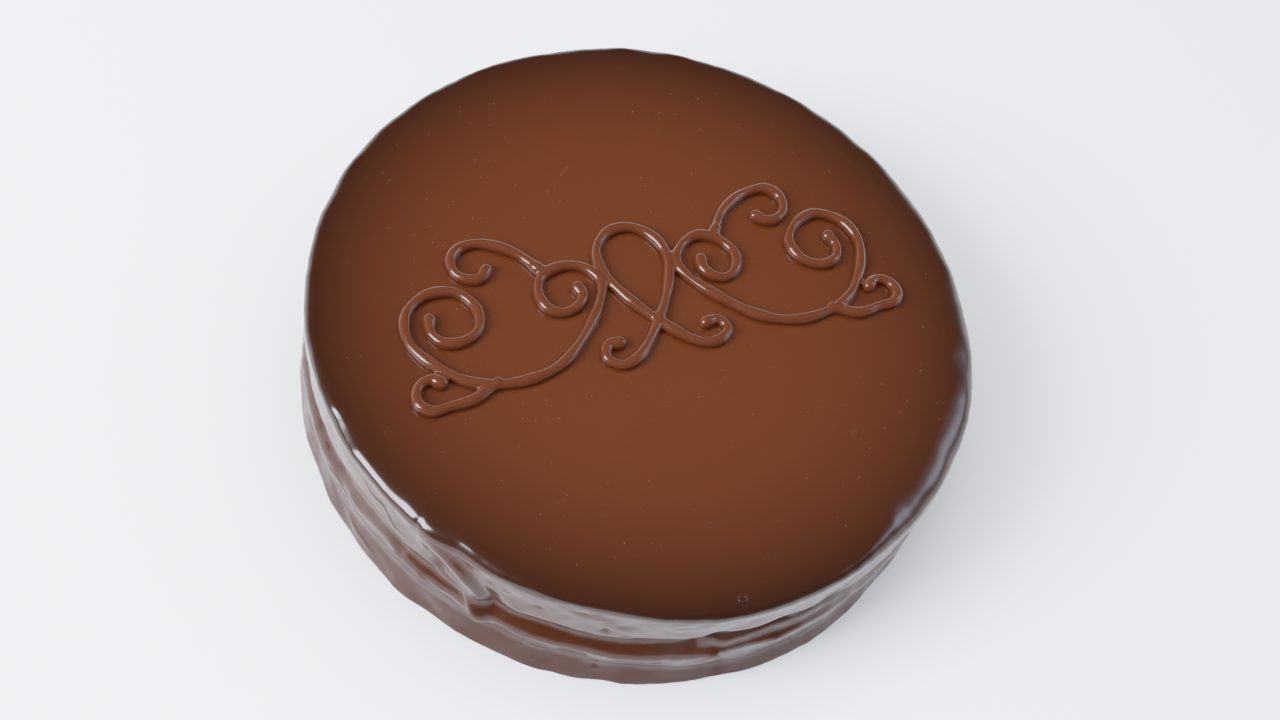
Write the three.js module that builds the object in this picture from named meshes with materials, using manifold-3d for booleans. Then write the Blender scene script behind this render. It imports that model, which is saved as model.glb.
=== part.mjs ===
// A whole sachertorte: a round sponge cake under one coat of dark chocolate glaze, with a piped
// chocolate scroll on top. Glaze and sponge hold together and nothing inside shows, so the cake
// is one solid, and the piping is fused to the glaze it set on.
//
// Millimetres, +Z up. The origin is the middle of the flat base. +X runs along the scroll, and
// -Y is the side that the scroll is read from.

import * as THREE from "three";
import { mergeVertices } from "three/addons/utils/BufferGeometryUtils.js";
import Module from "manifold-3d";

const wasm = await Module();
wasm.setup();

// ---------------------------------------------------------------- driving dimensions

const CAKE_RADIUS = 113; // a 22 cm sponge and 3 mm of glaze on each side
const CAKE_HEIGHT = 53; // middle of the top
const RIM_FALL = 1.0; // the poured glaze is thinner at the rim than in the middle
const LEVEL_RADIUS = 45; // inside this the top is level
const FOOT_ROUND = 0.6; // the rounded lip of glaze where the wall meets the base
const RIM_SEAT = 50; // height at which the wall has reached the rim's outline

const SEGMENTS = 136; // columns round the cake
const SIDE_ROWS = [4, 3, 2, 1, 2, 2, 4]; // rows from foot to neck, crest, ledge, waist, pad and rim
const EDGE_ROWS = 4; // rows over the rounded rim
const TOP_FRACTIONS = [0.09, 0.3, 0.62]; // rings on the top, as shares of the way to the middle

// The glaze sets in soft swells that run all the way round: a pad under the rim, a waist where the
// two layers of sponge meet, a ledge under it, a crest over the lower layer, and a neck. Each row is
// the angle in degrees, then the height and the stand-out from the plain wall of the waist, of the
// upper and the lower edge of the ledge, of the crest and of the neck, and last how far up and down
// their corners are softened.
const SWELLS = [
  [-176, 28.6, -2.7, 27.0, -1.5, 25.4, -0.2, 23.8, 1.0, 10.5, -1.1, 1.5],
  [-170, 28.6, -2.5, 27.1, -1.4, 25.7, -0.2, 24.2, 0.9, 10.5, -1.2, 1.5],
  [-164, 32.0, -1.3, 29.8, -0.7, 27.7, -0.1, 25.5, 0.6, 11.0, -1.2, 1.5],
  [-157, 32.0, -1.3, 29.8, -0.7, 27.7, 0.0, 25.5, 0.7, 11.2, -1.3, 1.5],
  [-152, 27.4, -2.6, 26.1, -1.4, 24.9, -0.2, 23.6, 0.9, 12.0, -1.4, 1.5],
  [-146, 27.0, -2.6, 25.9, -1.4, 24.7, -0.3, 23.5, 0.9, 12.4, -1.5, 1.5],
  [-141, 26.6, -2.3, 25.4, -1.2, 24.2, -0.2, 22.9, 0.8, 12.4, -1.6, 1.5],
  [-138.4, 27.5, -1.5, 26.0, -0.8, 24.5, -0.1, 23.0, 0.8, 12.0, -1.5, 1.5],
  [-135.4, 26.2, -4.0, 24.6, -2.4, 23.0, -0.8, 21.4, 0.8, 11.4, -1.5, 1.5],
  [-129, 26.2, -4.1, 24.8, -2.4, 23.4, -0.8, 22.0, 0.8, 12.0, -1.4, 1.5],
  [-121, 26.0, -4.2, 24.6, -2.5, 23.2, -0.9, 21.8, 0.8, 11.4, -1.5, 1.5],
  [-113, 25.6, -4.2, 24.0, -2.5, 22.3, -0.9, 20.7, 0.8, 9.6, -1.4, 1.5],
  [-105, 27.0, -4.4, 24.8, -2.7, 22.6, -0.9, 20.4, 0.8, 8.6, -1.3, 1.5],
  [-101, 27.4, -4.4, 25.0, -2.7, 22.7, -0.9, 20.6, 0.8, 8.0, -1.2, 1.2],
  [-98.5, 30.4, -4.3, 28.0, -2.0, 24.1, -1.2, 22.0, 0.9, 7.6, -1.2, 1.0],
  [-96, 29.9, -4.3, 25.9, -0.9, 24.0, -1.1, 22.2, 0.9, 7.3, -1.2, 0.8],
  [-92, 30.0, -4.2, 26.5, -1.0, 24.4, -1.2, 22.3, 0.9, 6.6, -1.1, 0.8],
  [-87, 31.2, -3.8, 28.3, -1.1, 25.1, -1.3, 22.9, 0.9, 6.0, -1.0, 0.8],
  [-81, 30.8, -3.2, 28.2, -1.0, 25.7, -1.0, 23.7, 0.9, 6.0, -0.9, 0.8],
  [-68, 29.5, -1.9, 27.7, -1.0, 25.8, -0.2, 24.0, 0.7, 7.3, -1.2, 1.4],
  [-52, 30.0, -2.8, 28.0, -1.6, 26.0, -0.3, 24.0, 0.9, 9.0, -1.2, 1.5],
  [-34, 32.0, -3.0, 29.0, -1.0, 26.0, -1.4, 22.5, 1.0, 11.0, -1.4, 1.5],
  [-14, 33.0, -3.0, 30.8, -1.0, 28.2, -1.2, 25.5, 0.8, 12.0, -1.6, 1.5],
  [8, 29.0, -2.8, 26.8, -1.5, 24.7, -0.2, 22.5, 1.1, 9.5, -1.3, 1.5],
  [28, 27.5, -3.5, 25.2, -2.0, 23.0, -0.6, 20.7, 0.9, 9.5, -1.2, 1.5],
  [50, 31.0, -3.1, 29.0, -1.7, 27.0, -0.4, 25.0, 1.0, 11.5, -1.6, 1.5],
  [74, 32.5, -3.4, 29.8, -1.2, 26.6, -1.5, 23.6, 0.8, 9.5, -1.3, 1.5],
  [96, 32.5, -2.7, 30.7, -1.5, 28.8, -0.3, 27.0, 0.9, 12.5, -1.5, 1.5],
  [118, 28.0, -3.4, 25.7, -2.0, 23.5, -0.6, 21.2, 0.8, 9.5, -1.2, 1.5],
  [138, 31.5, -2.8, 29.7, -1.5, 27.8, -0.3, 26.0, 1.0, 11.0, -1.6, 1.5],
  [160, 28.5, -3.3, 26.3, -1.9, 24.2, -0.6, 22.0, 0.8, 9.5, -1.3, 1.5],
  [174, 30.0, -2.6, 28.3, -1.4, 26.7, -0.2, 25.0, 1.0, 10.5, -1.1, 1.5],
];
const PAD_INSET = 0.5; // how far inside the rim the lower edge of the pad under it lies
const PAD_UNDERCUT = 2; // the pad's rise over the waist, for each mm that it stands out from it
const CORNER_SHARES = [-1, -1 / 3, 1 / 3, 1]; // where the softened corners are read, up and down

// The foot: [angle, how far the glaze has crept out on the plate].
const FOOT_OUTLINE = [
  [-176, 0.5], [-170, 0.9], [-164, 0.5], [-157, 1.0], [-150, 1.6], [-144, 0.9], [-138, 0.7],
  [-132, 1.1], [-126, 1.7], [-122, 1.0], [-118, 1.4], [-114, 0.7], [-110, 1.2], [-104, 1.5],
  [-95, 1.0], [-88, 1.6], [-75, 1.5], [-62, 0.8], [-45, 1.5], [-28, 0.8], [-12, 1.4], [4, 0.9],
  [20, 1.6], [38, 0.8], [55, 1.4], [72, 0.8], [88, 1.5], [104, 1.0], [121, 0.7], [139, 1.5],
  [157, 0.8], [170, 1.3],
];

// Folds: where a run of glaze set with a lip. path holds [angle, height] pairs. bank is the width
// of the soft side, on the path's left. On its right the flank falls from the lip into a trough,
// which fills again over the recovery. lip, flank and trough have one size where the path starts
// and one where it ends.
const FOLDS = [
  {
    path: [[-152, 54], [-150, 51], [-147, 47], [-143.7, 43], [-140.6, 39], [-138.4, 34.5],
      [-136.8, 29], [-135.8, 23], [-134.6, 13]],
    bank: 5.5, recovery: 9, lip: [1.2, 1.6], flank: [4.8, 2.2], trough: [1.5, 0.4],
  },
  {
    path: [[-147, 31], [-142.5, 29.6], [-139.4, 27], [-137, 21.5], [-135.4, 14]],
    bank: 1, recovery: 1, lip: [1, 1], flank: [4, 3], trough: [0, 0],
  },
  {
    path: [[-96.8, 25], [-97.2, 21.5], [-98.4, 17], [-100.7, 12]],
    bank: 2, recovery: 2, lip: [0.9, 0.9], flank: [1.6, 1.6], trough: [0.2, 0.2],
  },
  {
    path: [[21, 46], [26, 41], [33, 33], [37, 22]],
    bank: 4, recovery: 12, lip: [2, 2], flank: [6, 6], trough: [1.7, 1.7],
  },
  {
    path: [[128, 45], [123, 39], [116, 29], [113, 15]],
    bank: 4, recovery: 12, lip: [1.9, 1.9], flank: [6, 6], trough: [1.6, 1.6],
  },
];
const FOLD_STEPS = 24; // straight pieces that each fold's curve is measured by
const FOLD_FADE = 7; // mm over which a fold dies away at each end
const RIM_FADE = 11; // mm under the top over which a lip sinks into the rim
const TROUGH_AT_RIM = 0.1; // share of a trough's depth that is left at the rim

// Outline of the rim: [angle, how far it stands out].
const RIM_OUTLINE = [[-170, 0.1], [-146, -0.5], [-120, -0.8], [-94, 0.8], [-72, -0.2], [-52, 0.8],
  [-29, 1.5], [-9, 0.3], [6, 0.5], [30, 1.3], [66, 1.6], [100, 0.5], [138, 0.6], [165, 0.2]];

// The rounded rim: [angle, how far it reaches in, how far it drops].
const RIM_EDGE = [[-178, 3.8, 3.2], [-160, 8, 4.6], [-150, 7.5, 4.6], [-145, 6, 5], [-139, 5, 4.4],
  [-133, 4.4, 3.4], [-110, 3.2, 3], [-85, 3.2, 3], [-74, 3.8, 3.2], [-60, 10, 4.8], [-48, 10, 5], [-20, 9, 4],
  [2, 6.5, 3.2], [26, 4.4, 2.6], [62, 3.6, 2.6], [100, 3.2, 2.6], [145, 3.6, 3]];

// ---------------------------------------------------------------- the piped scroll

const ROPE_RADIUS = 1.95; // a cord of chocolate from a small round nozzle
const ROPE_BULB = 0.5; // how much fatter each end is, where the nozzle stops
const ROPE_LIFT = 1.25; // height of the cord's middle above the glaze
const ROPE_SIDES = 8;
const ROPE_PIECES = 1.6; // straight pieces of cord from one point of a stroke to the next
const CAP_ROWS = 2; // rows of faces on each round end
const VOLUTE_POINTS = 8; // points of a stroke in one turn of a volute
const ARC_PIECES = 5; // straight pieces between the points of an arc

// A volute winds from radius start to radius end about its eye, turning left, or right if sense
// is -1. from is the angle it starts at, in degrees.
const SCROLL_INNER = { x: 27, y: 10, start: 4.6, end: 12.8, from: -200, turns: 1.05, sense: 1 };
const SCROLL_BELLY = [[33, -13.5], [49, -19], [68, -15]];
const SCROLL_OUTER = { x: 67.5, y: 7.5, start: 15, end: 5.6, from: -18, turns: 1.12, sense: 1 };
const TENDRIL_STEM = [[33, 21.5], [38.5, 29], [46.5, 34.5]];
const TENDRIL_CURL = { x: 54, y: 27.5, start: 8.6, end: 5, from: 112, turns: 0.72, sense: -1 };
const TAIL_STEM = [[60, -17.8], [69, -22], [77.5, -22]];
const TAIL_CURL = { x: 80.5, y: -15.8, start: 6.3, end: 4, from: -72, turns: 0.6, sense: 1 };
const LOOP_FOOT = [[-15.5, -13.2], [-19.6, -12.6], [-21.6, -16.8], [-17.6, -20.8], [-11.6, -20.2],
  [-5.2, -15], [1.2, -7], [8.4, 4.8]];
const LOOP_HEAD = { x: 0, y: 17.5, radius: 12.5, from: -10, to: 190 };

// The small waver of a hand that pipes freely, as waves: [size in mm, how fast the wave runs along
// x and along y, phase].
const WAVER_X = [[0.55, 0.045, 0.11, 0.6], [0.3, 0.31, 0, 1]];
const WAVER_Y = [[0.6, 0.083, 0, 0.9], [0.3, 0.29, 0.21, 2]];

// ---------------------------------------------------------------- helpers

const { degToRad, radToDeg, clamp, lerp, smoothstep, euclideanModulo } = THREE.MathUtils;
const bell = (x) => Math.exp(-x * x);
const TURN = 2 * Math.PI;

// Value of column at angle, read round the closed list rows with a smooth step between neighbours.
function around(rows, column, angle) {
  const degrees = euclideanModulo(radToDeg(angle) + 180, 360) - 180;
  let next = rows.findIndex((row) => row[0] > degrees);
  if (next < 0) next = 0;
  const a = rows[(next + rows.length - 1) % rows.length];
  const b = rows[next];
  const span = euclideanModulo(b[0] - a[0], 360);
  const along = euclideanModulo(degrees - a[0], 360) / span;
  return lerp(a[column], b[column], smoothstep(along, 0, 1));
}

const SWELL_COLUMNS = [9, 7, 5, 3, 1]; // the heights, from the neck up
const SOFTNESS_COLUMN = 11;

// [height, stand-out] of the neck, crest, ledge, waist and pad at an angle.
function swellStops(angle) {
  const read = (column) => around(SWELLS, column, angle);
  const stops = SWELL_COLUMNS.map((column) => [read(column), read(column + 1)]);
  const [waistHeight, waist] = stops[stops.length - 1];
  const pad = around(RIM_OUTLINE, 1, angle) - PAD_INSET;
  return [...stops, [waistHeight + PAD_UNDERCUT * Math.max(pad - waist, 0), pad]];
}

// Stand-out of the swells: straight flanks from the foot to the rim, with soft corners.
function swell(angle, height) {
  const foot = [0, around(FOOT_OUTLINE, 1, angle)];
  const rim = [RIM_SEAT, around(RIM_OUTLINE, 1, angle)];
  const stops = [foot, ...swellStops(angle), rim];
  const softness = around(SWELLS, SOFTNESS_COLUMN, angle);
  let sum = 0;
  for (const share of CORNER_SHARES) {
    sum += stops[0][1];
    for (let i = 1; i < stops.length; i++) {
      const [low, before] = stops[i - 1];
      const [high, after] = stops[i];
      sum += (after - before) * clamp((height + share * softness - low) / (high - low), 0, 1);
    }
  }
  return sum / CORNER_SHARES.length;
}

// Each fold's curve, laid out flat: x is the distance round the wall, y the height.
for (const fold of FOLDS) {
  const knots = fold.path.map(([angle, height]) => new THREE.Vector2(degToRad(angle) * CAKE_RADIUS, height));
  fold.curve = new THREE.SplineCurve(knots).getPoints(FOLD_STEPS);
}

// How far one fold lifts the wall at (x, y) of the flat layout.
function foldLift(fold, x, y) {
  let nearest = Infinity;
  let side = 0;
  let share = 0;
  for (let i = 0; i < FOLD_STEPS; i++) {
    const a = fold.curve[i];
    const b = fold.curve[i + 1];
    const ex = b.x - a.x;
    const ey = b.y - a.y;
    const t = clamp(((x - a.x) * ex + (y - a.y) * ey) / (ex * ex + ey * ey), 0, 1);
    const distance = Math.hypot(x - a.x - t * ex, y - a.y - t * ey);
    if (distance < nearest) {
      nearest = distance;
      side = Math.sign(ex * (y - a.y) - ey * (x - a.x));
      share = (i + t) / FOLD_STEPS;
    }
  }
  const length = fold.curve[0].distanceTo(fold.curve[FOLD_STEPS]);
  const fade = smoothstep(Math.min(share, 1 - share) * length, 0, FOLD_FADE);
  const belowRim = smoothstep(CAKE_HEIGHT - y, 0, RIM_FADE);
  const lip = lerp(...fold.lip, share ** 2) * belowRim;
  const flank = lerp(...fold.flank, share ** 2);
  const trough = lerp(...fold.trough, share ** 2) * lerp(TROUGH_AT_RIM, 1, belowRim);
  if (side < 0) return fade * lip * bell(nearest / fold.bank);
  if (nearest < flank) return fade * (lip - (lip + trough) * smoothstep(nearest, 0, flank));
  return -fade * trough * (1 - smoothstep(nearest, flank, flank + fold.recovery));
}

// How far the glaze stands out from the plain wall at an angle and height.
function relief(angle, height) {
  let out = swell(angle, height);
  for (const fold of FOLDS) {
    const middle = fold.curve.reduce((sum, point) => sum + point.x, 0) / fold.curve.length / CAKE_RADIUS;
    const near = euclideanModulo(angle - middle + Math.PI, TURN) - Math.PI + middle;
    out += foldLift(fold, near * CAKE_RADIUS, height);
  }
  return out;
}

function wallRadius(angle, height) {
  return CAKE_RADIUS + relief(angle, height);
}

function topHeight(radius) {
  return CAKE_HEIGHT - RIM_FALL * smoothstep(radius, LEVEL_RADIUS, CAKE_RADIUS);
}

// ---------------------------------------------------------------- the glazed body

// A station is one ring of the body: which surface it is on, and how far along that surface. The
// side is in stages, from each height in the swells to the next one.
const stations = [
  { surface: "base", share: 1 },
  { surface: "base", share: 0 },
  { surface: "side", stage: 0, share: 0 },
];
SIDE_ROWS.forEach((rows, stage) => {
  for (let i = 1; i <= rows; i++) stations.push({ surface: "side", stage, share: i / rows });
});
for (let i = 1; i <= EDGE_ROWS; i++) stations.push({ surface: "edge", share: i / EDGE_ROWS });
for (const share of TOP_FRACTIONS) stations.push({ surface: "top", share });
stations.push({ surface: "top", share: 1 });

// Radius and height of a station at an angle.
function bodyPoint(angle, { surface, stage, share }) {
  const reach = around(RIM_EDGE, 1, angle);
  const drop = around(RIM_EDGE, 2, angle);
  const edgeHeight = topHeight(CAKE_RADIUS) - drop;
  const edgeRadius = wallRadius(angle, edgeHeight);
  if (surface === "base") return [(wallRadius(angle, FOOT_ROUND) - FOOT_ROUND) * (1 - share), 0];
  if (surface === "side") {
    const marks = [FOOT_ROUND, ...swellStops(angle).map(([at]) => at), edgeHeight];
    const height = lerp(marks[stage], marks[stage + 1], share);
    return [wallRadius(angle, height), height];
  }
  if (surface === "edge") {
    const turn = (share * Math.PI) / 2;
    const inner = edgeRadius - reach;
    return [inner + reach * Math.cos(turn), edgeHeight + (topHeight(inner) - edgeHeight) * Math.sin(turn)];
  }
  const radius = (edgeRadius - reach) * (1 - share);
  return [radius, topHeight(radius)];
}

function bodyGeometry() {
  const profile = stations.map((station) => new THREE.Vector2(...bodyPoint(0, station)));
  const geometry = new THREE.LatheGeometry(profile, SEGMENTS);
  const position = geometry.attributes.position;
  for (let column = 0; column <= SEGMENTS; column++) {
    const angle = ((column % SEGMENTS) / SEGMENTS) * TURN - Math.PI;
    stations.forEach((station, row) => {
      const [radius, height] = bodyPoint(angle, station);
      const index = column * stations.length + row;
      position.setXYZ(index, radius * Math.cos(angle), radius * Math.sin(angle), height);
    });
  }
  return geometry;
}

// ---------------------------------------------------------------- the piping

function volute({ x, y, start, end, from, turns, sense }) {
  const steps = Math.ceil(turns * VOLUTE_POINTS);
  return Array.from({ length: steps + 1 }, (_, i) => {
    const share = i / steps;
    const radius = lerp(start, end, share);
    const angle = degToRad(from) + sense * turns * TURN * share;
    return [x + radius * Math.cos(angle), y + radius * Math.sin(angle)];
  });
}

function arc({ x, y, radius, from, to }) {
  return Array.from({ length: ARC_PIECES + 1 }, (_, i) => {
    const angle = degToRad(lerp(from, to, i / ARC_PIECES));
    return [x + radius * Math.cos(angle), y + radius * Math.sin(angle)];
  });
}

const mirrored = (points) => points.map(([x, y]) => [-x, y]);

function waver(waves, x, y) {
  let sum = 0;
  for (const [size, alongX, alongY, phase] of waves) sum += size * Math.sin(alongX * x + alongY * y + phase);
  return sum;
}

const byHand = ([x, y]) => [x + waver(WAVER_X, x, y), y + waver(WAVER_Y, x, y)];

const rightStrokes = [
  [...volute(SCROLL_INNER), ...SCROLL_BELLY, ...volute(SCROLL_OUTER)],
  [...TENDRIL_STEM, ...volute(TENDRIL_CURL)],
  [...TAIL_STEM, ...volute(TAIL_CURL)],
];
const loop = [...LOOP_FOOT, ...arc(LOOP_HEAD), ...mirrored(LOOP_FOOT).reverse()];
const strokes = [...rightStrokes, ...rightStrokes.map(mirrored), loop];

// A capsule bent along the stroke: its length runs along the curve, its round caps close the ends.
function ropeGeometry(points) {
  const curve = new THREE.CatmullRomCurve3(points.map(byHand).map(([x, y]) => new THREE.Vector3(x, y, 0)));
  const length = curve.getLength();
  const steps = Math.round((points.length - 1) * ROPE_PIECES);
  const geometry = new THREE.CapsuleGeometry(ROPE_RADIUS, length, CAP_ROWS, ROPE_SIDES, steps);
  const position = geometry.attributes.position;
  for (let i = 0; i < position.count; i++) {
    const along = position.getY(i) + length / 2;
    const share = clamp(along / length, 0, 1);
    const middle = curve.getPoint(share);
    const forward = curve.getTangent(share);
    const nearEnd = Math.min(along, length - along);
    const fatter = 1 + (ROPE_BULB / ROPE_RADIUS) * (1 - smoothstep(nearEnd, 0, 2 * ROPE_RADIUS));
    const overshoot = (along - share * length) * fatter;
    const across = position.getX(i) * fatter;
    const seat = topHeight(Math.hypot(middle.x, middle.y)) + ROPE_LIFT;
    position.setXYZ(
      i,
      middle.x + forward.y * across + forward.x * overshoot,
      middle.y - forward.x * across + forward.y * overshoot,
      seat + position.getZ(i) * fatter,
    );
  }
  return geometry;
}

// ---------------------------------------------------------------- joining

// A closed mesh as a solid: corners that meet are one vertex, and slivers with no area are dropped.
function solid(geometry) {
  geometry.deleteAttribute("normal");
  geometry.deleteAttribute("uv");
  const merged = mergeVertices(geometry);
  const triangles = [];
  for (let i = 0; i < merged.index.count; i += 3) {
    const [a, b, c] = [0, 1, 2].map((corner) => merged.index.getX(i + corner));
    if (a !== b && b !== c && c !== a) triangles.push(a, b, c);
  }
  const mesh = new wasm.Mesh({
    numProp: 3,
    vertProperties: Float32Array.from(merged.attributes.position.array),
    triVerts: Uint32Array.from(triangles),
  });
  return new wasm.Manifold(mesh);
}

function geometryOf(manifold) {
  const mesh = manifold.getMesh();
  const geometry = new THREE.BufferGeometry();
  geometry.setAttribute("position", new THREE.BufferAttribute(Float32Array.from(mesh.vertProperties), 3));
  geometry.setIndex(Array.from(mesh.triVerts));
  geometry.computeVertexNormals();
  return geometry;
}

let cakeSolid = solid(bodyGeometry());
for (const stroke of strokes) cakeSolid = cakeSolid.add(solid(ropeGeometry(stroke)));

const glaze = new THREE.MeshStandardMaterial({ color: "#6b3a25", roughness: 0.28, metalness: 0 });
const cake = new THREE.Mesh(geometryOf(cakeSolid), glaze);
cake.name = "cake";

const group = new THREE.Group();
group.add(cake);

export default group;
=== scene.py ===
# %% [markdown]
# # A sachertorte in dark chocolate glaze
# The cake is a 22 cm sponge brushed with jam and covered in one pour of warm chocolate glaze. The
# pour levels itself on top, rolls over the rim and runs down the side, where it sets in soft
# swells, troughs and a few sharp folds. When it has set, a thin cord of chocolate is piped on
# top in one free hand movement after another.
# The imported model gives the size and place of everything, so it is loaded first and never moved.

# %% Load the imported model
import math

import bpy
import numpy as np
from mathutils import Matrix, Vector


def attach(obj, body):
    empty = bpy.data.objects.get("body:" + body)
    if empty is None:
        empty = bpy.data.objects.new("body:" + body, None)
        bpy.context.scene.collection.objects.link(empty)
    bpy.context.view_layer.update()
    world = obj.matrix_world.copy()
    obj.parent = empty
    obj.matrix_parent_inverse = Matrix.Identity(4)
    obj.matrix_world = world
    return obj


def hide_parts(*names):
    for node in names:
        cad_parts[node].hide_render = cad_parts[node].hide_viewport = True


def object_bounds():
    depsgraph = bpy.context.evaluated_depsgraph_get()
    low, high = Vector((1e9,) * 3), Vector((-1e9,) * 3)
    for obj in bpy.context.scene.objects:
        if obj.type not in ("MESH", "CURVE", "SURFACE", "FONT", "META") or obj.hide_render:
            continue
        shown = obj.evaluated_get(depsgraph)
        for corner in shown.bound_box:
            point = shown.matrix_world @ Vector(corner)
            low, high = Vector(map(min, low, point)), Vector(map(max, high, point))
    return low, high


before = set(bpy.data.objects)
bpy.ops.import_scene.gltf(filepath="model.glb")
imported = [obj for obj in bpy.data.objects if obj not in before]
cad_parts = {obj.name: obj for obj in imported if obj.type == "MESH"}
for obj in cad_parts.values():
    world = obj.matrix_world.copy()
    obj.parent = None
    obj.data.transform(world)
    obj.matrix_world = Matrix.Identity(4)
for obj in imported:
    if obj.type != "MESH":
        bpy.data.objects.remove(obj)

cad_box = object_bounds()
print("model box", [tuple(round(v, 4) for v in corner) for corner in cad_box])

# %% [markdown]
# ## Units and objects
# Cooks measure a cake in millimetres and Blender works in metres, so one factor turns the first
# into the second. In Blender a mesh, a light or a camera is only data until an object holds it,
# and the object shows once it is linked to the scene, so one helper does both.

# %% Millimetres, full turns and new objects
MM = 0.001
TURN = 2 * math.pi
QUARTER_TURN = TURN / 4


def add_object(name, data):
    """A new object that holds the data and is in the scene."""
    made = bpy.data.objects.new(name, data)
    bpy.context.scene.collection.objects.link(made)
    return made


model_width = (cad_box[1][0] - cad_box[0][0]) / MM
print("the cake is", round(model_width, 1), "mm wide")

# %% [markdown]
# ## The camera
# The viewer stands at the table and looks down on the cake, about 57 degrees above the table, with
# the head tilted, so the frame is rolled. A normal lens from 60 cm away makes the near side look
# a little larger than the far side. A constraint could aim the camera, but three angles say
# plainly how it stands: how far round the cake, how high up and how far rolled. It comes first,
# because the windows are placed by what the glaze mirrors towards it.

# %% Camera
CAMERA_PLACE = Vector((-189.678, -260.748, 508.359)) * MM
CAMERA_AZIMUTH = math.radians(-126.6)
CAMERA_ELEVATION = math.radians(56.673)
CAMERA_ROLL = math.radians(18.72)
CAMERA_LENS = 46.93
SENSOR_WIDTH = 36.0

camera_data = bpy.data.cameras.new("camera")
camera_data.lens = CAMERA_LENS
camera_data.sensor_width = SENSOR_WIDTH
camera = add_object("camera", camera_data)
faced_to_cake = Matrix.Rotation(CAMERA_AZIMUTH + QUARTER_TURN, 4, "Z")
tipped_down = Matrix.Rotation(QUARTER_TURN - CAMERA_ELEVATION, 4, "X")
rolled = Matrix.Rotation(CAMERA_ROLL, 4, "Z")
camera.matrix_world = Matrix.Translation(CAMERA_PLACE) @ faced_to_cake @ tipped_down @ rolled
bpy.context.scene.camera = camera
print("camera stands", round(CAMERA_PLACE.length, 3), "m from the middle of the base")

# %% [markdown]
# ## The shape of the glaze
# The sponge is a plain drum of two layers, so all the form is in the glaze. It is described by how
# far it stands out from the drum at each angle and height. From the top down a pad hangs under the
# rim, a waist lies where the two layers of sponge meet, with a ledge under it, and a crest runs
# over the lower layer. A sculpted mesh would do too, but rows of named sizes can be matched to the
# solid that carries the cake.

# %% Sizes of the drum
CAKE_RADIUS = 113 * MM
CAKE_HEIGHT = 53 * MM
RIM_FALL = 1.0 * MM
LEVEL_RADIUS = 45 * MM
FOOT_ROUND = 0.6 * MM
print("drum", round(2 * CAKE_RADIUS / MM), "by", round(CAKE_HEIGHT / MM), "mm")

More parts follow.
